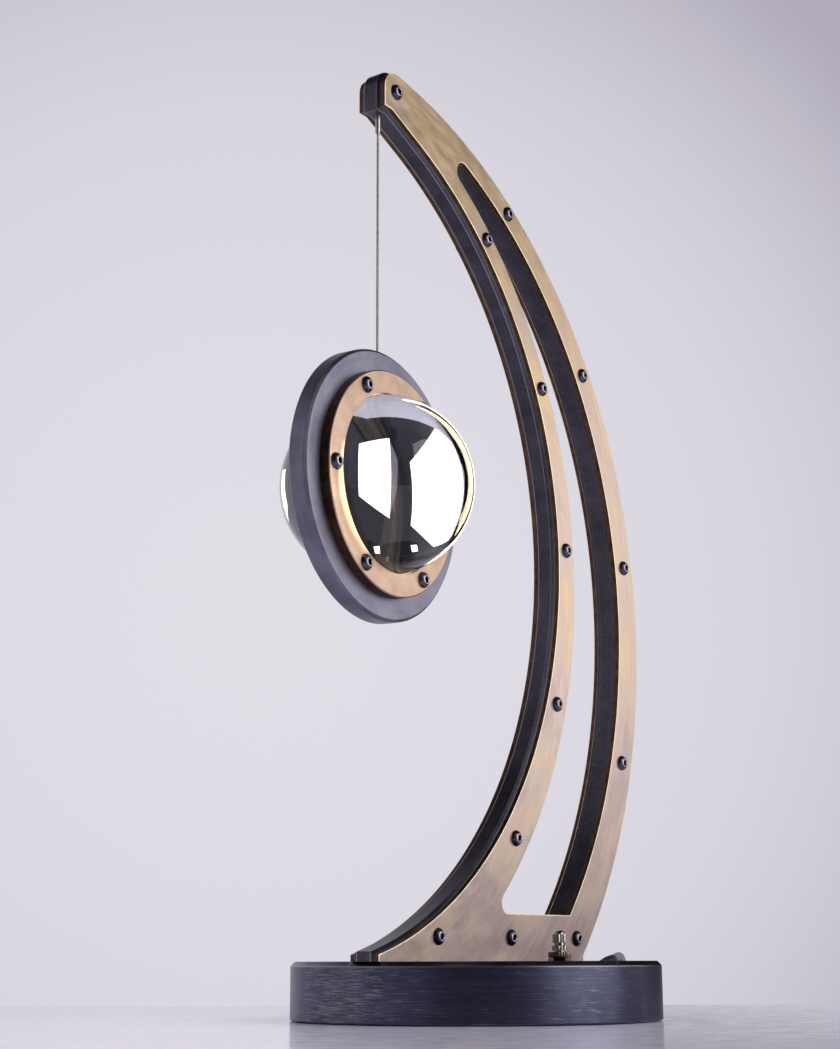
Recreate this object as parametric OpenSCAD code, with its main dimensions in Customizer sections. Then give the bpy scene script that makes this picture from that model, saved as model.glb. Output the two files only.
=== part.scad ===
// Table lamp: a bowed arm on a round base carries a disc lamp that hangs from a thin wire rope.
// Millimetres, +Z up, origin at the centre of the base's underside, arm in the XZ plane, front towards -Y.

/* [Base] */
// Radius of the base disc
base_r = 105; // [102:0.5:108]
// Height of the base's top face above the table
base_h = 32.5; // [30:0.5:40]
// Chamfer round the base's top edge
base_chamfer = 2.5; // [1:0.5:4]
// Thickness of the base above its hollow
base_top = 7.5; // [6:0.5:9]
// Thickness of the base's rim wall
base_wall = 19; // [15:1:21]
// Gap between the base disc and the table
base_lift = 0.5; // [0.3:0.1:1.2]
// Thickness of the felt pad under the base
pad_t = 1.5; // [1.3:0.1:3]
// Thickness of the steel cover under the hollow
cover_t = 2; // [1.5:0.5:3]

/* [Arm] */
// Radius of the arm's outer edge
outer_r = 305.2; // [303:0.2:308]
// Radius of the arm's inner edge, which faces the pendant
inner_r = 249.4; // [247:0.2:251]
// Radius of the window's side nearer the pendant
window_in_r = 272.6; // [271:0.2:274]
// Radius of the window's outer side
window_out_r = 287; // [285:0.2:288]
// Thickness of the arm's dark core
core_t = 13; // [11:0.5:16]
// Thickness of each brass side plate
plate_t = 3; // [2:0.5:4]
// How far the core's bevelled edge stands proud of the plates
bevel = 1.9; // [1:0.1:2.4]
// Height of the arm's head above the base's top face, at its flat lower edge
head_z = 485.8; // [484:0.2:487]
// Distance of the head's end from the base's axis
head_x = 99.8; // [99:0.2:102]
// Radius of the head's upper corner
head_corner = 11; // [8:0.5:12]
// Height of the window's sill above the base's top face
sill_z = 26.8; // [24:0.2:30]
// Radius of the window's lower corner
sill_corner = 6; // [4:0.5:8]
// Radius of the window's upper end
window_tip = 6.9; // [5:0.1:7.5]
// How far the arm's toe and heel stay inside the base's rim
foot_inset = 1.1; // [0.8:0.1:4]

/* [Fasteners] */
// Shank diameter of the button head screws
screw_d = 5; // [4:0.5:5.5]
// Head diameter of the button head screws
screw_head_d = 9.4; // [8:0.2:10]
// Head height of the button head screws
screw_head_h = 2.8; // [2:0.1:3]
// Length of the screws in the arm's plates
plate_screw_l = 8; // [6.5:0.5:8.5]
// Height of the plates' lowest row of screws above the base's top face
foot_row_z = 13.2; // [12:0.2:15]
// Spacing of the screws in the lowest row
foot_row_pitch = 72.8; // [70:0.2:74]
// Diameter of the bolts that hold the arm down
arm_bolt_d = 6; // [4:1:6]
// Length of those bolts under their heads
arm_bolt_l = 22; // [18:1:24]

/* [Suspension] */
// Diameter of the wire rope
rope_d = 1.5; // [1:0.1:1.8]
// Distance of the rope from the head's end
rope_inset = 5.7; // [5:0.1:7]
// Diameter of the ferrule under the head
ferrule_d = 3.1; // [2.8:0.1:4]
// Length of the ferrule below the head
ferrule_l = 11.4; // [8:0.2:16]
// Height of the pendant's centre above the table
pendant_z = 291.6; // [280:0.2:320]
// Angle by which the pendant hangs turned about its rope
pendant_turn = 3.6; // [-20:0.2:20]

/* [Pendant] */
// Radius of the pendant's housing
housing_r = 77; // [75:0.5:82]
// Thickness of the housing
housing_t = 12; // [11:0.5:16]
// Chamfer on the housing's edges
housing_chamfer = 1.5; // [0.5:0.1:2]
// Outer radius of the clamp rings
ring_r = 64; // [63:0.2:67]
// How far the clamp rings stand proud of the housing
ring_t = 6.2; // [5.6:0.2:8]
// Radius of the glass domes' spheres
dome_r = 50.8; // [49:0.2:51]
// Distance of each sphere's centre from the pendant's middle plane
dome_out = 4.7; // [4:0.1:5.4]
// Thickness of the domes' flanges
flange_t = 3; // [2:0.2:3.2]
// Number of screws in each clamp ring
ring_screws = 6; // [4:1:8]
// Length of the screws in the clamp rings
ring_screw_l = 10; // [9:0.5:11]

/* [Dimmer] */
// Distance of the dimmer from the base's axis, towards the front
dimmer_y = 56; // [50:1:66]
// Diameter of the knob's upper part
knob_d = 7.4; // [7:0.2:9]
// Diameter of the knob's lower ring
knob_ring_d = 8.4; // [8:0.2:10]
// Height of the knob
knob_h = 11; // [9:0.5:14]
// Diameter of the knurled nut
dress_nut_d = 12.7; // [11:0.1:14]
// Thickness of the knurled nut
dress_nut_t = 3; // [2:0.2:4]
// Width across the flats of the hexagon nut
hex_nut_w = 11; // [9.5:0.5:12]
// Thickness of the hexagon nut
hex_nut_t = 2; // [1.5:0.1:3]
// Diameter of the dimmer's threaded bush
bush_d = 6.6; // [6:0.1:6.8]
// Diameter of the dimmer's shaft
shaft_d = 4; // [3:0.2:4.6]

/* [Mains lead] */
// Diameter of the braided mains cord
cord_d = 5; // [4:0.1:5]
// Diameter of the strain relief at its tip
sleeve_tip_d = 6; // [5.6:0.1:6.4]
// Diameter of the strain relief inside the base
sleeve_d = 7.6; // [7:0.1:9]
// Distance between neighbouring turns of the coil
coil_pitch = 5.5; // [5.5:0.1:5.8]
// Radius of the coil's innermost turn
coil_in_r = 18.6; // [18:0.2:22]

/* [Hidden] */
$fn = 96;
fit = 0.05;      // running and tapped fits, on the radius
seat = 0.3;      // soft clearance between parts that don't touch
over = 1;        // how far a cutter runs past a face
nudge = 0.02;    // tangent blends overlap by this much, so that their edges cross cleanly

half_core = core_t/2;
arm_side = half_core + plate_t;
toe_x = base_r - foot_inset;
heel_x = base_r - foot_inset - 0.6;   // the outer edge ends in a short upright face at the heel
nose_out = min(bevel, foot_inset - 0.1);   // the toe's bevelled nose stays inside the rim
foot_row_x = 22.8;                          // middle screw of the lowest row

// Centres of the arm's four edges, as x and height above the base's top face
outer_c = [-124.8, 206.2];
inner_c = [-165.2, 245.3];
window_in_c = [-170.6, 236.3];
window_out_c = [-129.1, 213.6];
// The limbs' screws stand on lines that fan out from this point
fan_c = [-175, 251];
limb_angles = [45.7, 23.2, 0.6, -20.9];
inner_foot_angle = -41.5;
head_screw = [-head_x + 10.8, head_z + 12];

pocket_r = base_r - base_wall;
pocket_z = base_h - base_top;
cover_r = pocket_r + 9;
cover_screw_r = pocket_r + 4;
arm_bolt_x = [-16, 59];
arm_bolt_head = arm_bolt_d/6*10;

// Line from the head's flat lower edge that touches the inner edge
function unit(v) = v/norm(v);
function turn(a) = [cos(a), sin(a)];
flat_end = [-head_x + 7, head_z];
flat_run = flat_end - inner_c;
touch_angle = atan2(flat_run.y, flat_run.x) - acos(inner_r/norm(flat_run));
slope = 90 - touch_angle;
function touch(g) = inner_c + (inner_r - g - nudge)*turn(touch_angle);
function kink(g) = [flat_end.x - g*tan(slope/2), head_z - g];

// Round corners that blend two edges
corner_c = let(dx = -head_x + head_corner - outer_c.x)
    [-head_x + head_corner, outer_c.y + sqrt(pow(outer_r - head_corner, 2) - dx*dx)];
corner_angle = let(v = corner_c - outer_c) atan2(v.y, v.x);
sill_c = let(z = sill_z + sill_corner, r = window_in_r + sill_corner)
    [window_in_c.x + sqrt(r*r - pow(z - window_in_c.y, 2)), z];
sill_way = unit(sill_c - window_in_c);
// Where two circles meet, on the side of a greater height
function meet(c1, r1, c2, r2) = let(v = c2 - c1, d = norm(v), a = (r1*r1 - r2*r2 + d*d)/(2*d),
    h = sqrt(r1*r1 - a*a), p = c1 + a*v/d, n = [-v.y, v.x]/d) (p + h*n).y > (p - h*n).y ? p + h*n : p - h*n;
tip_c = meet(window_in_c, window_in_r + window_tip, window_out_c, window_out_r - window_tip);
tip_in = window_in_c + window_in_r*unit(tip_c - window_in_c);
tip_out = window_out_c + window_out_r*unit(tip_c - window_out_c);

// Where a ray from the fan's point leaves a circle
function leave(a, c, r) = let(w = fan_c - c, k = turn(a)*w) fan_c + turn(a)*(-k + sqrt(k*k - w*w + r*r));
function mid_outer(a) = (leave(a, window_out_c, window_out_r) + leave(a, outer_c, outer_r))/2;
function mid_inner(a) = (leave(a, inner_c, inner_r) + leave(a, window_in_c, window_in_r))/2;
plate_screw_at = concat([head_screw], [for (a = limb_angles) each [mid_outer(a), mid_inner(a)]],
    [mid_inner(inner_foot_angle)], [for (i = [-1:1]) [foot_row_x + i*foot_row_pitch, foot_row_z]]);

rope_x = -head_x + rope_inset;
ferrule_seat = 6;                           // how far the ferrule reaches into the head
ferrule_top = base_h + head_z - bevel;
ferrule_tip = ferrule_top - ferrule_l;
ball_z = ferrule_tip - 0.4;                 // middle of the ball that the rope swings on
ball_r = ferrule_d/2 - 0.55;
rope_top = ball_r + 0.1;
stop_d = 4.6;
stop_h = 7;

// Lead to the pendant: up from the base, along a groove in the core's back, down to the ferrule
lead_d = 2;
lead_w = lead_d + 0.4;                      // width of its groove
lead_hole = lead_w + 0.2;                   // diameter of its holes
lead_deep = 3;                              // depth of the groove
lead_knee = lead_d + 0.2;                   // diameter of the lead at its bends
lead_y = half_core - 1.6;
lead_r = outer_r - 3;
lead_rise = 20;                             // height of the groove's level part above the base's top face
lead_foot_x = pocket_r - 6;
lead_from = -asin((outer_c.y - lead_rise)/lead_r);
lead_low = outer_c + lead_r*turn(lead_from);
lead_to = 90 - asin((-outer_c.x - 90)/lead_r);
lead_high = outer_c + lead_r*turn(lead_to);
lead_turn = [rope_x, head_z + 15];
lead_down = head_z + 10;

half_housing = housing_t/2;
ring_face = half_housing + ring_t;
bore_r = dome_r + 0.6;
flange_r = bore_r + 2.8;
rebate_t = flange_t + 0.6;
groove_r = flange_r + 0.4;
groove_t = 8;
lip_r = sqrt(dome_r*dome_r - pow(ring_face - dome_out - 2, 2)) + 0.5;
ring_screw_r = (lip_r + ring_r)/2 + 0.1;
stop_z = pendant_z + groove_r + 1.5;
dome_back = 1.2;

dimmer_body_d = 16;
dimmer_body_h = 9;
knob_z = base_h + hex_nut_t + dress_nut_t + 0.6;
shaft_top = knob_z + knob_h - 2.5;
bush_top = knob_z - seat;

// Mains cord: it leaves the base's top near the rim at a slant
cord_exit = [base_r - 21, -40];
cord_bearing = 88;     // degrees from +Y towards +X
cord_rise = 17;        // degrees above level
sleeve_out = 2;        // how far the strain relief's tip reaches past the base's top plane
sleeve_in = 28;        // how far the strain relief reaches back from that plane
cord_z = 2.6;          // height of the cord's middle on the table
cord_top = base_h + 2.55;
layer_h = 5.5;         // height of the coil's second layer above its first
function cord_point(t) = [cord_exit.x + t*cos(cord_rise)*sin(cord_bearing),
    cord_exit.y + t*cos(cord_rise)*cos(cord_bearing), base_h + t*sin(cord_rise)];
// The cord's way over the rim and down to the table, as x from the rim, y and share of its greatest height
fall = [[-14.6, -39.8, 0.982], [-10.2, -39.2, 1], [-7.2, -38.4, 0.986], [-4.1, -37.4, 0.94],
    [0, -35.8, 0.838], [3.5, -34.1, 0.696], [7, -32.3, 0.542], [10.5, -30.5, 0.388], [14.3, -28.4, 0.24],
    [19, -25.6, 0.123], [24.6, -22, 0.043], [31, -17.6, 0.006], [38, -12, 0], [45, -5.6, 0], [52, 2.3, 0],
    [58.5, 11, 0], [64.5, 19.6, 0], [69.6, 27.4, 0], [73, 32.7, 0], [75.9, 37.3, 0]];
function laid(p) = [base_r + p.x, p.y + (1 - p.z)*(base_r - 105), cord_z + p.z*(cord_top - cord_z)];
route_in = concat([cord_point(sleeve_out)], [for (p = fall) laid(p)]);

// The coil: it spirals in on the table, climbs a layer in half a turn and spirals out again
coil_turns = 8.35;
coil_start = -40;      // bearing of the coil's first point from its centre
coil_rings = 24;       // rings in each turn
coil_half = coil_turns/2;
coil_out_r = coil_in_r + coil_pitch*coil_half;
coil_from = route_in[len(route_in) - 1];
coil_c = [coil_from.x, coil_from.y] - coil_out_r*turn(coil_start);
function smooth(t) = let(s = max(0, min(1, t))) s*s*(3 - 2*s);
function coil_point(t) = let(r = coil_in_r + coil_pitch*abs(t - coil_half), a = coil_start + 360*t)
    [coil_c.x + r*cos(a), coil_c.y + r*sin(a), cord_z + layer_h*smooth(2*(t - coil_half) + 0.5)];
function coil_dir(t) = let(a = coil_start + 360*t + 90) [cos(a), sin(a), 0];
coil_end = coil_point(coil_turns);
coil_line = concat([coil_point(0), coil_point(0) + cord_d*coil_dir(0)],
    [let(n = round(coil_turns*coil_rings)) for (i = [3:n - 3]) coil_point(coil_turns*i/n)],
    [coil_end - cord_d*coil_dir(coil_turns), coil_end]);

// The cord's way from the coil to the plug, as steps from the rim's corner of the square round the base
tail = [[33, 1.8, 7.3], [23, 3.4, 5.7], [13, 5.2, 4.8], [4, 6.5, 5.1], [-4, 7, 6.1], [-10, 7, 6.8],
    [-16, 7, 6.8]];
route_out = concat([coil_end, coil_end + cord_d*coil_dir(coil_turns)],
    [for (p = tail) [base_r, base_r, 0] + p]);
tube_sides = 8;
coil_sides = 6;
plug_w = 35.3;
plug_h = 13.6;
plug_l = 36;
pin_d = 4;
pin_l = 19;
pin_gap = 19;
pin_seat = 8;          // how far the pins reach into the plug's body

// Outlines of the arm, drawn as x and height above the base's top face
module disc2(c, r) { translate(c) circle(r=r, $fn=180); }

module window2() {
    difference() {
        intersection() {
            disc2(window_out_c, window_out_r);
            translate([-100, sill_z]) square([400, 600]);
            polygon([tip_in + 200*(tip_in - tip_out), tip_out + 200*(tip_out - tip_in), [400, 0], [-100, 0]]);
        }
        disc2(window_in_c, window_in_r);
        polygon([[sill_c.x, sill_z - over], [sill_c.x, sill_z], sill_c, window_in_c + window_in_r*sill_way,
            window_in_c + (window_in_r - 20)*sill_way, [sill_c.x - 20, sill_z - over]]);
    }
    disc2(sill_c, sill_corner + nudge);
    disc2(tip_c, window_tip + nudge);
}

function heel_top(r) = max(outer_c.y - sqrt(r*r - pow(heel_x - outer_c.x, 2)), 0.1);

// The whole outline, grown by g along its free edges
module outline2(g, nose) {
    difference() {
        intersection() {
            union() {
                disc2(outer_c, outer_r + g);
                square([heel_x, heel_top(outer_r + g)]);
            }
            translate([-toe_x - nose, 0]) square([800, 600]);
        }
        disc2(inner_c, inner_r - g);
        translate([-200 - head_x - g, head_z - 80]) square([200, 200]);
        polygon([[-head_x - 20, head_z - g], kink(g), touch(g), touch(g) - [0, 40],
            [-head_x - 20, head_z - 80]]);
        difference() {
            polygon([corner_c, corner_c - [60, 0], corner_c + [-60, 60], corner_c + 60*turn(corner_angle)]);
            disc2(corner_c, head_corner + g + nudge);
        }
        window2();
    }
}

// Turns a drawing in x and height into a slab from y = y0 to y = y0 + t
module slab(y0, t) { translate([0, y0 + t, base_h]) rotate([90, 0, 0]) linear_extrude(t) children(); }

module at_plate_screws() { for (p = plate_screw_at) translate([p.x, 0, base_h + p.y]) children(); }

// Cutter for the bevel along a round edge of radius r that the arm lies inside
module round_bevel(c, r, g, a0, a1) {
    translate([c.x, 0, base_h + c.y]) rotate([90, 0, 0]) rotate([0, 0, a0])
        rotate_extrude(angle=a1 - a0, $fn=180) polygon([[r + g + over, half_core - g - over],
            [r - over, half_core + over], [r + g + over, half_core + over]]);
}

// Cutter for the bevel along the inner edge, which the arm lies outside of
module hollow_bevel(c, r, g) {
    translate([c.x, -half_core - over, base_h + c.y]) rotate([-90, 0, 0])
        cylinder(r1=r + over, r2=r - g - over, h=g + 2*over, $fn=180);
}

// Cutter for the bevel along a straight edge from p to q, with the arm on its left
module straight_bevel(p, q, g) {
    d = q - p;
    translate([p.x, 0, base_h + p.y]) rotate([0, -atan2(d.y, d.x), 0]) rotate([90, 0, 90])
        linear_extrude(norm(d)) polygon([[half_core + over, over], [half_core + over, -g - over],
            [half_core - g - over, -g - over]]);
}

module bevels() {
    round_bevel(outer_c, outer_r, bevel, -60, corner_angle);
    round_bevel(corner_c, head_corner, bevel, corner_angle, 180);
    flat_from = [-head_x, head_z];
    past = [3*nudge, 0];
    straight_bevel([-head_x, corner_c.y], flat_from - [0, bevel + over], bevel);
    straight_bevel(flat_from - [bevel + over, 0], flat_end + past, bevel);
    straight_bevel(flat_end, touch(0), bevel);
    straight_bevel([-toe_x, 60], [-toe_x, -over], nose_out);
}

module arm_core() {
    color("#3c3a3d") difference() {
        difference() {
            slab(-half_core, core_t) outline2(bevel, nose_out);
            for (m = [0, 1]) mirror([0, m, 0]) hollow_bevel(inner_c, inner_r + nudge, bevel);
        }
        for (m = [0, 1]) mirror([0, m, 0]) bevels();
        at_plate_screws() rotate([90, 0, 0]) cylinder(d=screw_d + 2*fit, h=core_t + 2*over, center=true);
        for (x = arm_bolt_x) translate([x, 0, base_h - over])
            cylinder(d=arm_bolt_d + 2*fit, h=arm_bolt_l - base_top + 2*over);
        lead_way();
        translate([rope_x, 0, ferrule_top - over]) cylinder(d=ferrule_d + 2*fit, h=ferrule_seat + over);
    }
}

// A straight stretch of the groove, between two points on the core's back
module way2(p, q) {
    for (c = [p, q]) translate(c) circle(d=lead_w + 4*nudge, $fn=32);
    translate(p) rotate(atan2(q.y - p.y, q.x - p.x)) translate([0, -lead_w/2]) square([norm(q - p), lead_w]);
}

module lead_way() {
    translate([outer_c.x, half_core, base_h + outer_c.y]) rotate([90, 0, 0]) rotate([0, 0, lead_from])
        rotate_extrude(angle=lead_to - lead_from, $fn=180)
        translate([lead_r - lead_w/2, -over]) square([lead_w, lead_deep + over]);
    slab(half_core - lead_deep + 0.1, lead_deep + over) {
        way2(lead_high, lead_turn);
        way2(lead_turn, [rope_x, lead_down]);
    }
    translate([lead_foot_x - lead_w/2, half_core - lead_deep + 0.1, base_h + lead_rise - lead_w/2])
        cube([lead_low.x - lead_foot_x + lead_w, lead_deep + over, lead_w]);
    translate([lead_foot_x, lead_y, base_h - over]) cylinder(d=lead_hole, h=lead_rise + over, $fn=32);
    translate([rope_x, -lead_hole, base_h + lead_down]) rotate([-90, 0, 0])
        cylinder(d=lead_hole, h=half_core + lead_hole + over, $fn=32);
    translate([rope_x, 0, ferrule_top])
        cylinder(d=lead_w, h=base_h + lead_down + lead_w/2 - ferrule_top, $fn=32);
}

module side_plate() {
    difference() {
        slab(-arm_side, plate_t) outline2(0, 0);
        at_plate_screws() rotate([90, 0, 0]) cylinder(d=screw_d + 0.3, h=4*arm_side, center=true);
    }
}

module front_plate() { color("#c2a274") side_plate(); }
module back_plate() { color("#c2a274") mirror([0, 1, 0]) side_plate(); }

// Button head screw with its head's seat at the origin, pointing down
module button_screw(l, d=screw_d, head=screw_head_d, h=screw_head_h) {
    difference() {
        union() {
            translate([0, 0, -l]) cylinder(d=d, h=l + 0.01);
            intersection() {
                cylinder(d=head, h=h);
                translate([0, 0, h - dome_of(head, h)]) sphere(r=dome_of(head, h));
            }
        }
        translate([0, 0, h*0.4]) cylinder(d=0.62*d/cos(30), h=h, $fn=6);
    }
}
// Radius of the sphere that a head's dome is cut from; the dome starts 0.6 above the seat
function dome_of(head, h) = let(rise = h - 0.6) (head*head/4 + rise*rise)/(2*rise);

module plate_screws() {
    at_plate_screws() translate([0, -arm_side, 0]) rotate([90, 0, 0]) button_screw(plate_screw_l);
}
module front_plate_screws() { color("#3b3b45") plate_screws(); }
module back_plate_screws() { color("#3b3b45") mirror([0, 1, 0]) plate_screws(); }

module arm_bolts() {
    color("#55555c") for (x = arm_bolt_x) translate([x, 0, pocket_z]) difference() {
        union() {
            cylinder(d=arm_bolt_d, h=arm_bolt_l);
            translate([0, 0, -arm_bolt_d]) cylinder(d=arm_bolt_head, h=arm_bolt_d);
        }
        translate([0, 0, -arm_bolt_d - over]) cylinder(d=arm_bolt_d/1.1, h=arm_bolt_d/2 + over, $fn=6);
    }
}

// A straight piece of lead from p to q
module rod(p, q) {
    v = q - p;
    translate(p) rotate([0, acos(v.z/norm(v)), atan2(v.y, v.x)]) cylinder(d=lead_d, h=norm(v), $fn=24);
}
function on_core(p, y=lead_y) = [p.x, y, base_h + p.y];

// Pieces of lead along points, with a knee a little thicker than the lead at each bend
module lead_line(points) {
    for (i = [1:len(points) - 1]) rod(points[i - 1], points[i]);
    for (i = [1:len(points) - 2]) translate(points[i]) sphere(d=lead_knee, $fn=24);
}

module arm_lead() {
    down = [rope_x, lead_down];
    color("#26262a") {
        translate([outer_c.x, lead_y, base_h + outer_c.y]) rotate([90, 0, 0]) rotate([0, 0, lead_from])
            rotate_extrude(angle=lead_to + 0.1 - lead_from, $fn=180)
            translate([lead_r, 0]) circle(d=lead_d, $fn=24);
        lead_line([[lead_foot_x, lead_y, pocket_z - 6], on_core([lead_foot_x, lead_rise]),
            on_core(lead_low)]);
        lead_line([on_core(lead_high), on_core(lead_turn), on_core(down), on_core(down, 0),
            [rope_x, 0, ferrule_top + ferrule_seat - seat]]);
    }
}

// Base
module base_disc() {
    color("#2f2e33") difference() {
        rotate_extrude($fn=180) polygon([[0, base_lift], [base_r - 0.5, base_lift], [base_r, base_lift + 0.5],
            [base_r, base_h - base_chamfer], [base_r - base_chamfer, base_h], [0, base_h]]);
        translate([0, 0, base_lift - over]) cylinder(r=pocket_r, h=pocket_z - base_lift + over, $fn=180);
        translate([0, 0, base_lift - over])
            cylinder(r=cover_r + seat, h=pad_t - base_lift + cover_t + over, $fn=180);
        for (x = arm_bolt_x) translate([x, 0, pocket_z - over])
            cylinder(d=arm_bolt_d + 2*seat, h=base_top + 2*over);
        translate([lead_foot_x, lead_y, pocket_z - over]) cylinder(d=lead_hole, h=base_top + 2*over, $fn=32);
        translate([0, -dimmer_y, pocket_z - over]) cylinder(d=bush_d + 2*fit, h=base_top + 2*over);
        at_cover_screws() cylinder(d=4 + 2*fit, h=10);
        along_cord() {
            translate([0, 0, -sleeve_in - 10]) cylinder(d=sleeve_d + 2*fit, h=sleeve_in + 14);
            cylinder(d=cord_d + 1.2, h=14);
        }
        pad_seat();
    }
}

// Rebate in the underside that the pad lies in
module pad_seat() {
    translate([0, 0, base_lift - over]) cylinder(r=pad_r + seat, h=pad_t - base_lift + over, $fn=180);
}
pad_r = base_r - 4;

module base_pad() { color("#1d1d20") cylinder(r=pad_r, h=pad_t, $fn=180); }

module base_cover() {
    color("#6b6b70") difference() {
        translate([0, 0, pad_t]) cylinder(r=cover_r, h=cover_t, $fn=180);
        at_cover_screws() translate([0, 0, -10]) cylinder(d=4.4, h=20);
        at_cover_screws() translate([0, 0, -over]) cylinder(d=8, h=over + 1.2);
    }
}

module at_cover_screws() {
    for (i = [0:5]) rotate([0, 0, 60*i + 30]) translate([cover_screw_r, 0, pad_t]) children();
}

module cover_screws() {
    color("#8d8d92") at_cover_screws() {
        translate([0, 0, 0.1]) cylinder(d=7.6, h=1.1);
        cylinder(d=4, h=9);
    }
}

// Slanted line of the cord's exit, with +Z along it and the origin on the base's top plane
module along_cord() {
    translate(cord_point(0)) rotate([0, 0, -cord_bearing]) rotate([cord_rise - 90, 0, 0]) children();
}

module strain_relief() {
    color("#222125") along_cord() {
        translate([0, 0, -sleeve_in]) cylinder(d=sleeve_d, h=sleeve_in - 4);
        translate([0, 0, -4]) cylinder(d1=sleeve_d, d2=sleeve_tip_d, h=sleeve_out + 4);
    }
}

// Electrical parts in the base's hollow
driver_at = [52 - pocket_r, 30];   // its outer end stays clear of the hollow's wall
driver_size = [56, 38, 18];
block_at = [30, -30];
block_size = [30, 16, 12];
module led_driver() {
    color("#e4e3df") translate([driver_at.x, driver_at.y, pocket_z - driver_size.z/2])
        cube([driver_size.x, driver_size.y, driver_size.z], center=true);
}

module driver_clamps() {
    away = driver_size.x/2 + 5 + seat;
    color("#9a9aa0") for (s = [-1, 1]) translate([driver_at.x + s*away, driver_at.y, pocket_z]) {
        translate([-5, -8, -2]) cube([10, 16, 2]);
        translate([0, 0, -4]) cylinder(d=7, h=2);
    }
}

module terminal_block() {
    color("#d8d6ce") translate([block_at.x, block_at.y, pocket_z - block_size.z/2]) difference() {
        cube(block_size, center=true);
        for (x = [-10, 0, 10]) translate([x, 0, -block_size.z/2 - over]) cylinder(d=4, h=block_size.z/2);
    }
}

// Leads that run under the hollow's ceiling between the driver, the dimmer, the block, the arm and the cord
lead_z = pocket_z - 5;
function inside(x, y) = [x, y, lead_z];
// A lead's end p on a face that looks along n, drawn back so that the slanted end clears the face
function end_at(p, q, n) = p + n*(lead_d/2*norm(cross(n, unit(q - p))) + fit);
module inner_leads() {
    front = [0, -1, 0];
    block_front = block_at.y - block_size.y/2;
    block_back = block_at.y + block_size.y/2;
    driver_end = inside(driver_at.x + 20, driver_at.y - driver_size.y/2);
    driver_pole = inside(block_at.x - 8, block_back);
    dimmer_pole = inside(block_at.x - 6, block_front);
    dimmer_end = inside(6.5, -dimmer_y + 5.5);
    arm_pole = inside(block_at.x + 8, block_back);
    arm_end = [lead_foot_x, lead_y, pocket_z - 6 - lead_d/2];
    cord_pole = inside(block_at.x + block_size.x/2, block_at.y - 3);
    cord_end = cord_point(-sleeve_in - lead_d/2 - 0.2);
    color("#2a2a2e") {
        rod(end_at(driver_end, driver_pole, front), end_at(driver_pole, driver_end, -front));
        rod(end_at(dimmer_pole, dimmer_end, front), dimmer_end);
        rod(end_at(arm_pole, arm_end, -front), arm_end);
        rod(end_at(cord_pole, cord_end, [1, 0, 0]), cord_end);
    }
}

// Dimmer
module at_dimmer(z) { translate([0, -dimmer_y, z]) children(); }

module dimmer_body() {
    color("#b5b5ba") at_dimmer(pocket_z - dimmer_body_h) difference() {
        cylinder(d=dimmer_body_d, h=dimmer_body_h);
        translate([0, 0, 3]) cylinder(d=shaft_d + 4*fit, h=dimmer_body_h);
    }
}

module dimmer_bush() {
    color("#c9c3b4") at_dimmer(pocket_z) difference() {
        cylinder(d=bush_d, h=bush_top - pocket_z);
        translate([0, 0, -over]) cylinder(d=shaft_d + 2*fit, h=bush_top - pocket_z + 2*over);
    }
}

module hex_nut() {
    color("#7b766c") at_dimmer(base_h) difference() {
        cylinder(d=hex_nut_w/cos(30), h=hex_nut_t, $fn=6);
        translate([0, 0, -over]) cylinder(d=bush_d + 2*fit, h=hex_nut_t + 2*over);
    }
}

module fluted(d, flutes, depth) {
    difference() {
        circle(d=d, $fn=72);
        for (i = [0:flutes - 1]) rotate(360*i/flutes) translate([d/2 + depth*0.4, 0]) circle(r=depth, $fn=16);
    }
}

module dress_nut() {
    color("#a49d8b") at_dimmer(base_h + hex_nut_t) difference() {
        linear_extrude(dress_nut_t) fluted(dress_nut_d, 30, 0.45);
        translate([0, 0, -over]) cylinder(d=bush_d + 2*fit, h=dress_nut_t + 2*over);
    }
}

module dimmer_shaft() {
    color("#c9c3b4") at_dimmer(pocket_z - dimmer_body_h + 3 + 2*fit)
        cylinder(d=shaft_d, h=shaft_top - pocket_z + dimmer_body_h - 3 - 2*fit);
}

module dimmer_knob() {
    color("#a99b80") at_dimmer(knob_z) difference() {
        union() {
            linear_extrude(2.7) fluted(knob_ring_d, 18, 0.5);
            cylinder(d=knob_d - 1.4, h=knob_h - 1.2);
            translate([0, 0, 4.2]) linear_extrude(knob_h - 5) fluted(knob_d, 18, 0.5);
            translate([0, 0, knob_h - 0.8]) cylinder(d1=knob_d - 1.1, d2=knob_d - 2.6, h=0.8);
        }
        translate([0, 0, -over]) cylinder(d=shaft_d + 2*fit, h=shaft_top - knob_z + over + fit);
    }
}

// Suspension
module on_rope(z) { translate([rope_x, 0, z]) children(); }

module ferrule() {
    color("#b7a88e") difference() {
        on_rope(ferrule_tip) cylinder(d=ferrule_d, h=ferrule_l + ferrule_seat - seat);
        on_rope(ball_z) sphere(r=ball_r + fit);
    }
}

module rope_ball() { color("#8f8f94") on_rope(ball_z) sphere(r=ball_r); }

module wire_rope() {
    color("#8a8984") on_rope(stop_z + stop_h) cylinder(d=rope_d, h=ball_z - rope_top - stop_z - stop_h);
}

module rope_stop() { color("#9d9da2") on_rope(stop_z) cylinder(d=stop_d, h=stop_h); }

// The pendant: +Z is its front, the origin is its centre
module pendant() {
    translate([rope_x, 0, pendant_z]) rotate([0, 0, pendant_turn]) rotate([90, 0, 0]) children();
}

module at_ring_screws() {
    for (i = [0:ring_screws - 1]) rotate([0, 0, 360*i/ring_screws]) translate([ring_screw_r, 0, 0])
        children();
}

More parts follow.
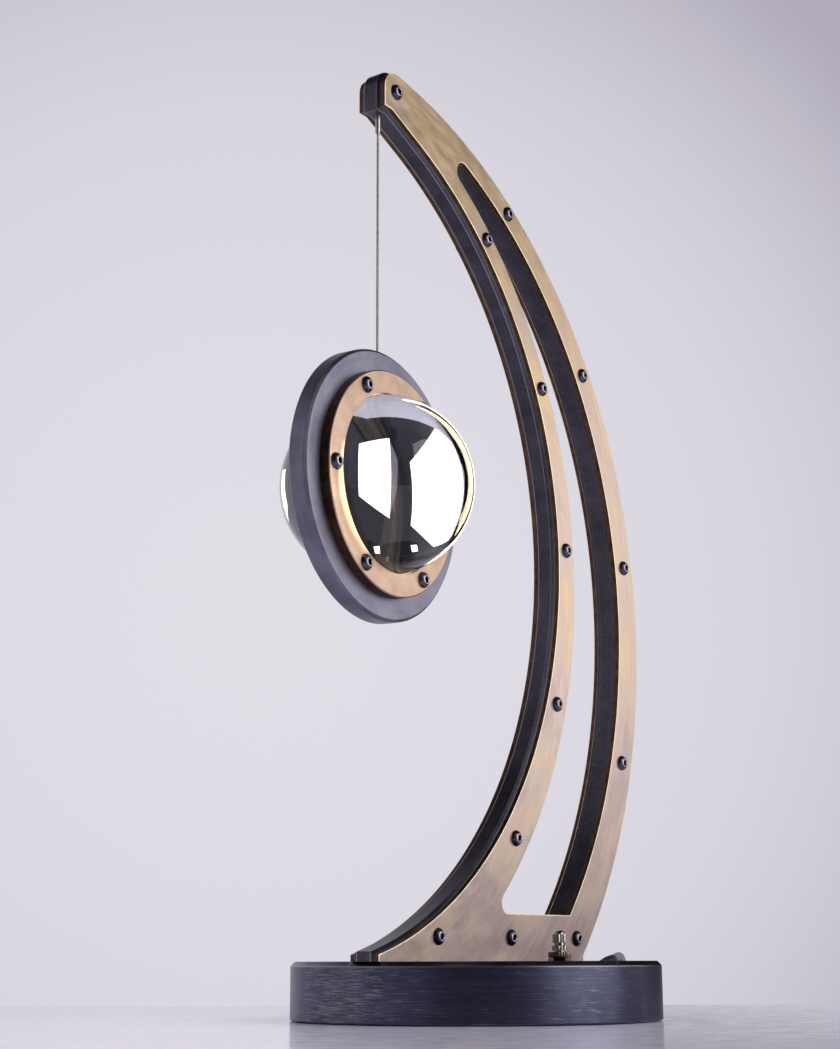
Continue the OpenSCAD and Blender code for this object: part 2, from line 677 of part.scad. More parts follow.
module disc_housing() {
    c = housing_chamfer;
    color("#4b484e") pendant() difference() {
        rotate_extrude($fn=180) polygon([[bore_r, -half_housing], [housing_r - c, -half_housing],
            [housing_r, -half_housing + c], [housing_r, half_housing - c], [housing_r - c, half_housing],
            [bore_r, half_housing], [bore_r, groove_t/2], [groove_r, groove_t/2], [groove_r, -groove_t/2],
            [bore_r, -groove_t/2]]);
        translate([0, bore_r, 0]) rotate([-90, 0, 0]) {
            cylinder(d=stop_d + 0.4, h=stop_z + stop_h + seat - pendant_z - bore_r);
            cylinder(d=rope_d + 0.5, h=housing_r);
        }
        at_ring_screws() cylinder(d=screw_d + 2*fit, h=2*housing_t, center=true);
    }
}

module clamp_ring() {
    difference() {
        rotate_extrude($fn=180) polygon([[flange_r + seat, half_housing], [ring_r, half_housing],
            [ring_r, ring_face - 0.6], [ring_r - 0.6, ring_face], [lip_r, ring_face],
            [lip_r, half_housing + rebate_t], [flange_r + seat, half_housing + rebate_t]]);
        at_ring_screws() cylinder(d=screw_d + 0.3, h=2*ring_face);
    }
}

module front_ring() { color("#b08f63") pendant() clamp_ring(); }
module rear_ring() { color("#b08f63") pendant() mirror([0, 0, 1]) clamp_ring(); }

// A solid glass dome with a flat back and a flange that the ring holds
module dome() {
    intersection() {
        translate([0, 0, dome_out]) sphere(r=dome_r, $fn=180);
        translate([0, 0, dome_back]) cylinder(r=dome_r + 1, h=2*dome_r);
    }
    translate([0, 0, half_housing + seat]) difference() {
        cylinder(r=flange_r, h=flange_t, $fn=180);
        translate([0, 0, -over]) cylinder(r=dome_r - 3, h=flange_t + 2*over, $fn=180);
    }
}

module front_dome() { color("#dfe6ea", 0.4) pendant() dome(); }
module rear_dome() { color("#dfe6ea", 0.4) pendant() mirror([0, 0, 1]) dome(); }

// Rubber ring between the flange and the housing
module gasket() {
    translate([0, 0, half_housing]) difference() {
        cylinder(r=flange_r, h=0.3, $fn=180);
        translate([0, 0, -over]) cylinder(r=bore_r + 0.2, h=0.3 + 2*over, $fn=180);
    }
}
module front_gasket() { color("#1c1c1e") pendant() gasket(); }
module rear_gasket() { color("#1c1c1e") pendant() mirror([0, 0, 1]) gasket(); }

module reflector() {
    color("#e8e8ea") pendant() cylinder(r=dome_r - 1.2, h=2*dome_back, center=true, $fn=180);
}

// Strip of light diodes in the housing's inner groove
led_count = 24;
module led_ring() {
    color("#f0e6b4") pendant() {
        difference() {
            cylinder(r=groove_r - 0.1, h=groove_t - 1, center=true, $fn=180);
            cylinder(r=groove_r - 0.9, h=groove_t, center=true, $fn=180);
        }
        for (i = [0:led_count - 1]) rotate([0, 0, 360*(i + 0.5)/led_count])
            translate([groove_r - 2.1, -1.75, -1.4]) cube([1.25, 3.5, 2.8]);
    }
}

module ring_screws_of(z) { at_ring_screws() translate([0, 0, z]) button_screw(ring_screw_l); }
module front_ring_screws() { color("#3b3b45") pendant() ring_screws_of(ring_face); }
module rear_ring_screws() { color("#3b3b45") pendant() mirror([0, 0, 1]) ring_screws_of(ring_face); }

// Short lead from the rope's stop to the strip of diodes
module pendant_lead() {
    from = pendant_z + groove_r - 0.1;
    color("#8c2a22") on_rope(from) cylinder(d=1, h=stop_z - from, $fn=16);
}

// A round tube along points, as one closed mesh: rings of points joined by triangles
function along(p, i) = unit((i < len(p) - 1 ? p[i + 1] : p[i]) - (i > 0 ? p[i - 1] : p[i]));
function ring_of(c, d, r, n) = let(side = unit([-d.y, d.x, 0]), up = cross(d, side))
    [for (k = [0:n - 1]) c + r*(cos(360*k/n)*side + sin(360*k/n)*up)];
module tube(path, r, n) {
    m = len(path);
    points = [for (i = [0:m - 1]) each ring_of(path[i], along(path, i), r, n)];
    walls = [for (i = [0:m - 2]) for (k = [0:n - 1]) let(a = i*n + k, b = i*n + (k + 1) % n)
        each [[a, b, a + n], [b, b + n, a + n]]];
    caps = [for (k = [1:n - 2]) each [[0, k + 1, k], [(m - 1)*n, (m - 1)*n + k, (m - 1)*n + k + 1]]];
    polyhedron(points, concat(walls, caps));
}

// Least gap between turns, measured between the tube's own points
turn_gap = min([for (i = [0:2:len(coil_line) - 1], j = [i + 16:2:len(coil_line) - 1])
    norm(coil_line[i] - coil_line[j])]) - cord_d;
function route_length(p, i=1) = i < len(p) ? norm(p[i] - p[i - 1]) + route_length(p, i + 1) : 0;
echo(least_gap_between_turns=turn_gap, coil_centre=coil_c, coil_end=coil_end, coil_outer_radius=coil_out_r,
    cord_length=route_length(route_in) + route_length(coil_line) + route_length(route_out));

module mains_cord() { color("#38363a") tube(route_in, cord_d/2, tube_sides); }
module cord_coil() { color("#38363a") tube(coil_line, cord_d/2, coil_sides); }
module cord_tail() { color("#38363a") tube(route_out, cord_d/2, tube_sides); }

// Flat two-pin plug: the cord enters at its back, at the end of its route
plug_at = route_out[len(route_out) - 1];
module plug() { translate(plug_at) rotate([0, 0, 180]) children(); }
module at_pins() {
    for (s = [-1, 1]) translate([plug_l - pin_seat, s*pin_gap/2, 0]) rotate([0, 90, 0]) children();
}
module plug_body() {
    color("#222125") plug() difference() {
        union() {
            hull() {
                rotate([0, 90, 0]) cylinder(d=cord_d + 2, h=1, $fn=32);
                translate([14, -plug_w*0.3, -plug_h*0.42]) cube([1, plug_w*0.6, plug_h*0.84]);
            }
            hull() {
                translate([14, -plug_w*0.3, -plug_h*0.42]) cube([1, plug_w*0.6, plug_h*0.84]);
                for (s = [-1, 1]) translate([20, s*(plug_w - plug_h)/2, 0]) rotate([0, 90, 0])
                    cylinder(d=plug_h, h=plug_l - 20, $fn=32);
            }
        }
        at_pins() cylinder(d=pin_d + 2*fit, h=pin_seat + over);
    }
}
module plug_pins() {
    color("#c8c8cc") plug() at_pins() {
        cylinder(d=pin_d, h=pin_seat + pin_l - 1);
        translate([0, 0, pin_seat + pin_l - 1]) cylinder(d1=pin_d, d2=pin_d - 1.4, h=1);
    }
}

base_disc();
base_cover();
base_pad();
cover_screws();
arm_core();
front_plate();
back_plate();
front_plate_screws();
back_plate_screws();
arm_bolts();
arm_lead();
ferrule();
rope_ball();
wire_rope();
rope_stop();
disc_housing();
front_ring();
rear_ring();
front_dome();
rear_dome();
front_gasket();
rear_gasket();
reflector();
led_ring();
front_ring_screws();
rear_ring_screws();
pendant_lead();
dimmer_body();
dimmer_bush();
hex_nut();
dress_nut();
dimmer_shaft();
dimmer_knob();
led_driver();
driver_clamps();
terminal_block();
inner_leads();
strain_relief();
mains_cord();
cord_coil();
cord_tail();
plug_body();
plug_pins();
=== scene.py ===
import math
import random

import bmesh
import bpy
from mathutils import Matrix, Vector
from mathutils.geometry import tessellate_polygon


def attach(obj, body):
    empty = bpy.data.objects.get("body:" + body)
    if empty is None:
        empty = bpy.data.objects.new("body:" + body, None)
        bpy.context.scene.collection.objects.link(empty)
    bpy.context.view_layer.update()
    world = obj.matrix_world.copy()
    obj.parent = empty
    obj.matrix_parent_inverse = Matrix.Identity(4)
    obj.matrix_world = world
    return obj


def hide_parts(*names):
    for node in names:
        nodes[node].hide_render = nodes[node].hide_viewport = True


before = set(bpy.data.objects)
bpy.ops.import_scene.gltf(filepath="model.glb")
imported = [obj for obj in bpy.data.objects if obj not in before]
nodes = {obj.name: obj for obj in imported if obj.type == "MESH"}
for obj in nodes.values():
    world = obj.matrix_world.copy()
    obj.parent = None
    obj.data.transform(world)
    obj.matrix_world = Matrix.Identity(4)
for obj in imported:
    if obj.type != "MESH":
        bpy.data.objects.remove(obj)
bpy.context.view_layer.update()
mm = 0.001
random.seed(7)

# Every length in this file is in millimetres, in the CAD's frame, and becomes metres when a mesh is made.


def linear(code):   # an sRGB hex colour as linear red, green, blue and alpha
    parts = [int(code[i:i + 2], 16) / 255 for i in (1, 3, 5)]
    return [c / 12.92 if c <= 0.04045 else ((c + 0.055) / 1.055) ** 2.4 for c in parts] + [1]


def put(tree, kind, inputs=(), stops=(), **settings):   # adds a node with its settings, values and links
    node = tree.nodes.new("ShaderNode" + kind)
    for name, value in settings.items():
        setattr(node, name, value)
    for place, value in dict(inputs).items():
        if isinstance(value, bpy.types.NodeSocket):
            tree.links.new(value, node.inputs[place])
        else:
            node.inputs[place].default_value = linear(value) if isinstance(value, str) else value
    for i, (place, shade) in enumerate(stops):
        mark = node.color_ramp.elements[i] if i < 2 else node.color_ramp.elements.new(place)
        mark.position = place
        mark.color = linear(shade)
    return node


# The camera stands where the photograph was taken: base, arm, screws and pendant were fitted to it.
camera = {
    "place": (-903.3, -611.3, 33.3),
    "yaw": 54.29,       # degrees from +Y towards +X
    "pitch": 13.12,     # degrees above level
    "roll": -0.16,
    "focal": 1868,      # in pixels of a photograph 1049 pixels high
    "high": 1049,
}


def placeCamera(view):
    yaw, pitch, roll = (math.radians(view[k]) for k in ("yaw", "pitch", "roll"))
    ahead = Vector((math.sin(yaw) * math.cos(pitch), math.cos(yaw) * math.cos(pitch), math.sin(pitch)))
    right = Vector((math.cos(yaw), -math.sin(yaw), 0))
    up = right.cross(ahead)
    right, up = right * math.cos(roll) + up * math.sin(roll), up * math.cos(roll) - right * math.sin(roll)
    lens = bpy.data.cameras.new("camera")
    lens.sensor_width = 36
    lens.lens = view["focal"] * lens.sensor_width / view["high"]
    lens.clip_start = 0.01
    holder = bpy.data.objects.new("camera", lens)
    turn = Matrix((right, up, -ahead)).transposed().to_4x4()
    holder.matrix_world = Matrix.Translation(Vector(view["place"]) * mm) @ turn
    bpy.context.scene.collection.objects.link(holder)
    bpy.context.scene.camera = holder


placeCamera(camera)
print("camera placed")


# Meshes are made from loops of points, joined by faces.
def skin(loops, ends="cap"):
    n = len(loops[0])
    verts = [p for loop in loops for p in loop]
    faces = []
    for i in range(len(loops) if ends == "round" else len(loops) - 1):
        a, b = i * n, (i + 1) % len(loops) * n
        faces += [(a + k, a + (k + 1) % n, b + (k + 1) % n, b + k) for k in range(n)]
    if ends == "cap":
        faces += [tuple(reversed(range(n))), tuple(range(len(verts) - n, len(verts)))]
    return verts, faces


def hoop(radius, z, n):   # a level loop; its radius may be a function of the angle
    turns = [2 * math.pi * k / n for k in range(n)]
    sizes = [radius(a) if callable(radius) else radius for a in turns]
    return [(r * math.cos(a), r * math.sin(a), z) for a, r in zip(turns, sizes)]


def lathe(profile, n=128, ends="cap"):   # turns a profile of radius and height about Z
    return skin([hoop(max(r, 0.03), z, n) for r, z in profile], ends)


def rounded(corners, size, steps=3, closed=False):   # a profile with its corners rounded by about that size
    out = []
    count = len(corners)
    for i, corner in enumerate(corners):
        if not closed and i in (0, count - 1):
            out.append(tuple(corner))
            continue
        here, back, on = Vector(corner), Vector(corners[i - 1]), Vector(corners[(i + 1) % count])
        start = here + (back - here).normalized() * min(size, (back - here).length * 0.45)
        end = here + (on - here).normalized() * min(size, (on - here).length * 0.45)
        for k in range(steps + 1):
            t = k / steps
            out.append(tuple(start * (1 - t) ** 2 + here * 2 * t * (1 - t) + end * t * t))
    return out


def join(parts):   # several meshes as one
    verts, faces = [], []
    for v, f in parts:
        faces += [tuple(i + len(verts) for i in face) for face in f]
        verts += v
    return verts, faces


def moved(shape, space):
    verts, faces = shape
    return [tuple(space @ Vector(v)) for v in verts], faces


def addPiece(name, shape, finish, body, stands=(), space=Matrix.Identity(4), sharp=35, flats=True):
    verts, faces = shape
    mesh = bpy.data.meshes.new(name)
    mesh.from_pydata([tuple(c * mm for c in v) for v in verts], [], faces)
    build = bmesh.new()
    build.from_mesh(mesh)
    bmesh.ops.recalc_face_normals(build, faces=build.faces)
    build.to_mesh(mesh)
    build.free()
    mesh.shade_smooth()
    mesh.set_sharp_from_angle(angle=math.radians(sharp))
    mesh.materials.append(finish)
    piece = bpy.data.objects.new(name, mesh)
    bpy.context.scene.collection.objects.link(piece)
    piece.matrix_world = space
    if flats:   # flat faces stay flat beside small roundings
        piece.modifiers.new("flats", "WEIGHTED_NORMAL").keep_sharp = True
    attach(piece, body)
    if stands:
        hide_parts(*stands)
    return piece


# Materials
def newMaterial(name, **values):   # what is the same all over the surface is set on the shader itself
    made = bpy.data.materials.new(name)
    made.use_nodes = True
    shader = made.node_tree.nodes["Principled BSDF"]
    for key, value in values.items():
        place = {"metal": "Metallic", "rough": "Roughness", "colour": "Base Color", "ior": "IOR",
                 "through": "Transmission Weight", "coat": "Coat Weight", "coatRough": "Coat Roughness",
                 "sheen": "Sheen Weight", "glow": "Emission Color", "glowLevel": "Emission Strength",
                 "shine": "Specular IOR Level"}[key]
        shader.inputs[place].default_value = linear(value) if isinstance(value, str) else value
    return made, made.node_tree, shader


def speckle(tree, size, detail=3, stretch=(1, 1, 1), lean=0):   # noise whose grains are about size mm
    place = put(tree, "TexCoord").outputs["Object"]
    if lean:   # degrees that the grain is turned about Y
        place = put(tree, "VectorRotate", {0: place, "Angle": math.radians(lean)}, rotation_type="Y_AXIS").outputs[0]
    scaled = put(tree, "VectorMath", {0: place, 1: [s / (size * mm) for s in stretch]}, operation="MULTIPLY")
    return put(tree, "TexNoise", {"Vector": scaled.outputs[0], "Scale": 1, "Detail": detail,
                                  "Roughness": 0.6}).outputs[0]


def turnedMarks(tree, pitch, length):   # rings a lathe tool leaves: pitch mm across, length mm round the axis
    place = put(tree, "TexCoord").outputs["Object"]
    parts = put(tree, "SeparateXYZ", {0: place}).outputs
    level = put(tree, "CombineXYZ", {"X": parts["X"], "Y": parts["Y"]}).outputs[0]
    radius = put(tree, "VectorMath", {0: level}, operation="LENGTH").outputs["Value"]
    across = put(tree, "Math", {0: radius, 1: parts["Z"]}, operation="ADD").outputs[0]
    place = put(tree, "CombineXYZ", {
        "X": put(tree, "Math", {0: across, 1: 1 / (pitch * mm)}, operation="MULTIPLY").outputs[0],
        "Y": put(tree, "Math", {0: parts["X"], 1: 1 / (length * mm)}, operation="MULTIPLY").outputs[0],
        "Z": put(tree, "Math", {0: parts["Y"], 1: 1 / (length * mm)}, operation="MULTIPLY").outputs[0]})
    return put(tree, "TexNoise", {"Vector": place.outputs[0], "Scale": 1, "Detail": 5,
                                  "Roughness": 0.65}).outputs[0]


def sweepMarks(tree, across, length):   # hand strokes that follow the arm's curve: mm across and mm along it
    place = put(tree, "TexCoord").outputs["Object"]
    parts = put(tree, "SeparateXYZ", {0: put(tree, "VectorMath", {0: place, 1: (-0.125, 0, 0.239)},
                                             operation="SUBTRACT").outputs[0]}).outputs
    swung = put(tree, "CombineXYZ", {"X": parts["X"], "Y": parts["Z"]}).outputs[0]
    radius = put(tree, "VectorMath", {0: swung}, operation="LENGTH").outputs["Value"]
    angle = put(tree, "Math", {0: parts["Z"], 1: parts["X"]}, operation="ARCTAN2").outputs[0]
    place = put(tree, "CombineXYZ", {
        "X": put(tree, "Math", {0: radius, 1: 1 / (across * mm)}, operation="MULTIPLY").outputs[0],
        "Y": put(tree, "Math", {0: angle, 1: 0.3 / (length * mm)}, operation="MULTIPLY").outputs[0],
        "Z": put(tree, "Math", {0: parts["Y"], 1: 1 / (across * mm)}, operation="MULTIPLY").outputs[0]})
    return put(tree, "TexNoise", {"Vector": place.outputs[0], "Scale": 1, "Detail": 4,
                                  "Roughness": 0.6}).outputs[0]


def setBump(tree, shader, height, depth):   # depth in mm
    bump = put(tree, "Bump", {"Strength": 1.0, "Distance": depth * mm, "Height": height})
    tree.links.new(bump.outputs[0], shader.inputs["Normal"])


def setRough(tree, shader, fac, low, high):
    spread = put(tree, "MapRange", {0: fac, 1: 0.3, 2: 0.7, 3: low, 4: high})
    tree.links.new(spread.outputs[0], shader.inputs["Roughness"])


def blackenedSteel():   # mild steel turned on a lathe, blackened and waxed: fine level lines, pale where it wore, and a painted highlight along the corner under the chamfer
    made, tree, shader = newMaterial("blackenedTurnedSteel", metal=1.0)
    lines = turnedMarks(tree, 0.5, 60)
    fine = turnedMarks(tree, 0.2, 25)
    clouds = speckle(tree, 26, 4)
    tone = put(tree, "ValToRGB", {0: clouds}, [(0.3, "#4e4e61"), (0.7, "#5f5f77")]).outputs[0]
    streak = put(tree, "ValToRGB", {0: lines}, [(0.35, "#b9b7c2"), (0.72, "#ffffff")]).outputs[0]
    mixed = put(tree, "Mix", {0: 0.7, 6: tone, 7: streak}, data_type="RGBA", blend_type="MULTIPLY").outputs[2]
    # Short level scratches show bare steel, most of them where hands take the base to move it.
    place = put(tree, "TexCoord").outputs["Object"]
    away = put(tree, "VectorMath", {0: place, 1: (-0.104, 0.014, 0.016)}, operation="DISTANCE").outputs["Value"]
    handled = put(tree, "MapRange", {0: away, 1: 0.012, 2: 0.05, 3: 0.1, 4: 0.0}).outputs[0]
    handled = put(tree, "Math", {0: turnedMarks(tree, 0.4, 13), 1: handled}, operation="ADD").outputs[0]
    wearAndHighlight = put(tree, "MapRange", {0: handled, 1: 0.58, 2: 0.74, 4: 0.9}).outputs[0]
    high = put(tree, "SeparateXYZ", {0: place}).outputs["Z"]
    chamferHighlight = put(tree, "MapRange", {0: put(tree, "Math", {0: high, 1: 0.03, 2: 0.0005}, operation="COMPARE").outputs[0],
                                    3: 0.0, 4: 0.55}).outputs[0]   # painted highlight: a pale band along the corner under the chamfer
    # From here the mask holds the worn scratches and the painted highlight, both drawn in the pale steel colour.
    wearAndHighlight = put(tree, "Math", {0: wearAndHighlight, 1: chamferHighlight}, operation="MAXIMUM").outputs[0]
    mixed = put(tree, "Mix", {0: wearAndHighlight, 6: mixed, 7: "#a09a98"}, data_type="RGBA").outputs[2]
    tree.links.new(mixed, shader.inputs["Base Color"])
    setRough(tree, shader, fine, 0.28, 0.4)
    setBump(tree, shader, fine, 0.008)
    return made


def brushedBrass():   # brass sheet brushed by hand and tarnished: gold to mauve clouds, faint strokes, pale edges that are part wear and part painted highlight
    made, tree, shader = newMaterial("brushedAgedBrass", metal=1.0)
    high = put(tree, "SeparateXYZ", {0: put(tree, "TexCoord").outputs["Object"]}).outputs["Z"]
    damp = put(tree, "MapRange", {0: high, 1: 0.03, 2: 0.5, 3: 0.13, 4: -0.13}).outputs[0]   # the foot tarnished most
    broad = put(tree, "Math", {0: sweepMarks(tree, 24, 75), 1: damp}, operation="ADD").outputs[0]
    patches = sweepMarks(tree, 5, 16)
    strokes = sweepMarks(tree, 0.9, 26)   # drawn coarser than the real scratches, so that they show
    tone = put(tree, "ValToRGB", {0: broad},
               [(0.33, "#dfc29a"), (0.67, "#b39fa1"), (0.45, "#cfb8a3"), (0.55, "#cab6ae")]).outputs[0]
    mottle = put(tree, "ValToRGB", {0: patches}, [(0.3, "#ad9892"), (0.74, "#ded0bf"), (0.5, "#c8b19f")]).outputs[0]
    tone = put(tree, "Mix", {0: 0.3, 6: tone, 7: mottle}, data_type="RGBA").outputs[2]
    shade = put(tree, "ValToRGB", {0: strokes}, [(0.3, "#e3dcd8"), (0.7, "#ffffff")]).outputs[0]
    tone = put(tree, "Mix", {0: 0.6, 6: tone, 7: shade}, data_type="RGBA", blend_type="MULTIPLY").outputs[2]
    # Pale rims: worn brass with a painted highlight, broken up by the patches.
    edge = put(tree, "Attribute", attribute_name="edge").outputs["Fac"]
    broken = put(tree, "MapRange", {0: patches, 1: 0.3, 2: 0.6, 3: 0.5, 4: 1.0}).outputs[0]
    edge = put(tree, "Math", {0: edge, 1: broken}, operation="MULTIPLY").outputs[0]
    tone = put(tree, "Mix", {0: edge, 6: tone, 7: "#f8ebcb"}, data_type="RGBA").outputs[2]
    tree.links.new(tone, shader.inputs["Base Color"])
    setRough(tree, shader, patches, 0.32, 0.42)
    setBump(tree, shader, strokes, 0.005)
    return made


def burntBrassEdge():   # the sawn and filed edges of brass parts, dark brown from the patina bath, pale along their rims with wear and a painted highlight
    made, tree, shader = newMaterial("patinatedBrassEdge", metal=1.0)
    tone = put(tree, "ValToRGB", {0: speckle(tree, 5, 4)}, [(0.35, "#4b382d"), (0.75, "#7d5c44")]).outputs[0]
    # Wear and painted highlight: the rims are paler where the edge attribute is high.
    edge = put(tree, "Attribute", attribute_name="edge").outputs["Fac"]
    edge = put(tree, "MapRange", {0: edge, 1: 0.5, 2: 1.0}).outputs[0]
    tone = put(tree, "Mix", {0: edge, 6: tone, 7: "#c9a27a"}, data_type="RGBA").outputs[2]
    tree.links.new(tone, shader.inputs["Base Color"])
    setRough(tree, shader, speckle(tree, 1.2, 3), 0.34, 0.5)
    setBump(tree, shader, speckle(tree, 0.5, 3, (1, 0.3, 1)), 0.015)
    return made


def armSteel():   # milled steel, oiled black: dark satin flats, a painted highlight line where the bevels meet
    made, tree, shader = newMaterial("milledBlackSteel", metal=1.0)
    clouds = speckle(tree, 18, 4)
    tone = put(tree, "ValToRGB", {0: clouds}, [(0.3, "#434047"), (0.7, "#5a565f")]).outputs[0]
    flecks = put(tree, "MapRange", {0: speckle(tree, 1.6, 4), 1: 0.6, 2: 0.72, 3: 0.0, 4: 0.6}).outputs[0]
    tone = put(tree, "Mix", {0: flecks, 6: tone, 7: "#8d868c"}, data_type="RGBA").outputs[2]
    # Painted highlight: the edge attribute pales the steel to blue-grey where the bevels meet.
    edge = put(tree, "Attribute", attribute_name="edge").outputs["Fac"]
    tone = put(tree, "Mix", {0: edge, 6: tone, 7: "#a4a5b8"}, data_type="RGBA").outputs[2]
    tree.links.new(tone, shader.inputs["Base Color"])
    marks = speckle(tree, 0.5, 3, (1, 0.08, 1))
    setRough(tree, shader, clouds, 0.3, 0.42)
    setBump(tree, shader, marks, 0.008)
    return made


def satinSteel():   # steel turned and blackened, softer than the base: an even satin with fine rings
    made, tree, shader = newMaterial("blackenedSatinSteel", metal=1.0)
    lines = turnedMarks(tree, 0.3, 40)
    clouds = speckle(tree, 22, 4)
    tone = put(tree, "ValToRGB", {0: clouds}, [(0.3, "#7e7b8a"), (0.7, "#9d9aaa")]).outputs[0]
    streak = put(tree, "ValToRGB", {0: lines}, [(0.35, "#b5b2be"), (0.7, "#ffffff")]).outputs[0]
    mixed = put(tree, "Mix", {0: 0.6, 6: tone, 7: streak}, data_type="RGBA", blend_type="MULTIPLY").outputs[2]
    tree.links.new(mixed, shader.inputs["Base Color"])
    setRough(tree, shader, lines, 0.4, 0.52)
    setBump(tree, shader, lines, 0.008)
    return made


def turnedBronze():   # bronze rings turned on a lathe and lacquered warm: tan faces with fine rings
    made, tree, shader = newMaterial("turnedBronze", metal=1.0)
    lines = turnedMarks(tree, 0.3, 30)
    clouds = speckle(tree, 14, 4)
    tone = put(tree, "ValToRGB", {0: clouds}, [(0.3, "#c3a491"), (0.72, "#dac3b0"), (0.5, "#cfb29f")]).outputs[0]
    streak = put(tree, "ValToRGB", {0: lines}, [(0.3, "#d8cdc2"), (0.7, "#ffffff")]).outputs[0]
    mixed = put(tree, "Mix", {0: 0.7, 6: tone, 7: streak}, data_type="RGBA", blend_type="MULTIPLY").outputs[2]
    tree.links.new(mixed, shader.inputs["Base Color"])
    setRough(tree, shader, lines, 0.36, 0.48)
    setBump(tree, shader, lines, 0.01)
    return made


def plainMetal(name, dark, pale, rough, grain=3.0, marks=0.006):   # a metal whose tone wanders, with handling marks
    made, tree, shader = newMaterial(name, metal=1.0)
    clouds = speckle(tree, grain, 4)
    tone = put(tree, "ValToRGB", {0: clouds}, [(0.3, dark), (0.7, pale)]).outputs[0]
    tree.links.new(tone, shader.inputs["Base Color"])
    setRough(tree, shader, speckle(tree, grain * 0.4, 3), rough * 0.85, rough * 1.15)
    setBump(tree, shader, speckle(tree, 0.25, 2), marks)
    return made


def moulded(name, dark, pale, rough, grit):   # plastic or rubber from a mould whose walls were spark eroded
    made, tree, shader = newMaterial(name, ior=1.48)
    tone = put(tree, "ValToRGB", {0: speckle(tree, 12, 3)}, [(0.3, dark), (0.7, pale)]).outputs[0]
    tree.links.new(tone, shader.inputs["Base Color"])
    setRough(tree, shader, speckle(tree, grit * 4, 3), rough * 0.85, rough * 1.15)
    setBump(tree, shader, speckle(tree, grit, 2), grit * 0.08)
    return made


def pressedFelt():   # wool felt pressed into sheet: matt and fibrous
    made, tree, shader = newMaterial("pressedFelt", sheen=0.4)
    fibres = speckle(tree, 0.4, 4, (1, 0.35, 1))
    tone = put(tree, "ValToRGB", {0: fibres}, [(0.3, "#17171a"), (0.7, "#34343a")]).outputs[0]
    tree.links.new(tone, shader.inputs["Base Color"])
    setRough(tree, shader, fibres, 0.85, 0.97)
    setBump(tree, shader, fibres, 0.15)
    return made


def opticalGlass():   # clear optical glass, ground and polished: sharp reflections, faint dust in its bump
    made, tree, shader = newMaterial("polishedOpticalGlass", through=1.0, ior=1.52, rough=0.0,
                                     colour="#fbfcfd")
    setBump(tree, shader, speckle(tree, 30, 2), 0.002)
    return made


def paintedGlowEdge():   # the rim of each dome, left as it was ground, with a painted glow: a steady warm emission stands in for the diodes' light it would scatter
    made, tree, shader = newMaterial("groundGlassPaintedGlow", through=1.0, ior=1.52, glow="#ffe9c0", glowLevel=0.45)
    tone = put(tree, "ValToRGB", {0: speckle(tree, 4, 3)}, [(0.3, "#f4efe2"), (0.7, "#fdfaf2")]).outputs[0]
    tree.links.new(tone, shader.inputs["Base Color"])
    setRough(tree, shader, speckle(tree, 0.6, 2), 0.45, 0.6)
    return made


def silveredMirror():   # aluminium vapour on a ground disc: the mirror behind both domes
    made, tree, shader = newMaterial("silveredMirror", metal=1.0, colour="#f0eff0")
    setRough(tree, shader, speckle(tree, 3, 3), 0.02, 0.05)
    return made


def phosphor():   # phosphor gel over each diode: warm yellow, switched on low
    made, tree, shader = newMaterial("phosphorGel", ior=1.45, glowLevel=8.0, glow="#ffca62")
    tone = put(tree, "ValToRGB", {0: speckle(tree, 0.5, 3)}, [(0.3, "#e8c558"), (0.7, "#f7e08c")]).outputs[0]
    tree.links.new(tone, shader.inputs["Base Color"])
    setRough(tree, shader, speckle(tree, 0.3, 2), 0.25, 0.4)
    return made


def braidedCotton():   # polyester yarn braided over the cord: crossing diagonal threads about 0.9 mm wide
    made, tree, shader = newMaterial("braidedYarn", sheen=0.3, ior=1.45)
    parts = put(tree, "SeparateXYZ", {0: put(tree, "UVMap", uv_map="weave").outputs[0]}).outputs
    waves = []
    for side in (1, -1):   # threads that run left and right round the cord
        along = put(tree, "Math", {0: parts["X"], 1: 2 * math.pi / 3.4}, operation="MULTIPLY").outputs[0]
        round_ = put(tree, "Math", {0: parts["Y"], 1: side * 2 * math.pi * 6}, operation="MULTIPLY").outputs[0]
        both = put(tree, "Math", {0: along, 1: round_}, operation="ADD").outputs[0]
        waves.append(put(tree, "Math", {0: both}, operation="SINE").outputs[0])
    weave = put(tree, "Math", {0: waves[0], 1: waves[1]}, operation="MULTIPLY").outputs[0]
    lift = put(tree, "MapRange", {0: weave, 1: -1, 2: 1}).outputs[0]
    fleck = speckle(tree, 0.9, 3)
    tone = put(tree, "ValToRGB", {0: lift}, [(0.15, "#4b434f"), (0.85, "#8d8293")]).outputs[0]
    pale = put(tree, "MapRange", {0: fleck, 1: 0.55, 2: 0.68}).outputs[0]
    tone = put(tree, "Mix", {0: pale, 6: tone, 7: "#a89eae"}, data_type="RGBA").outputs[2]
    tree.links.new(tone, shader.inputs["Base Color"])
    setRough(tree, shader, fleck, 0.6, 0.85)
    setBump(tree, shader, lift, 0.3)
    return made


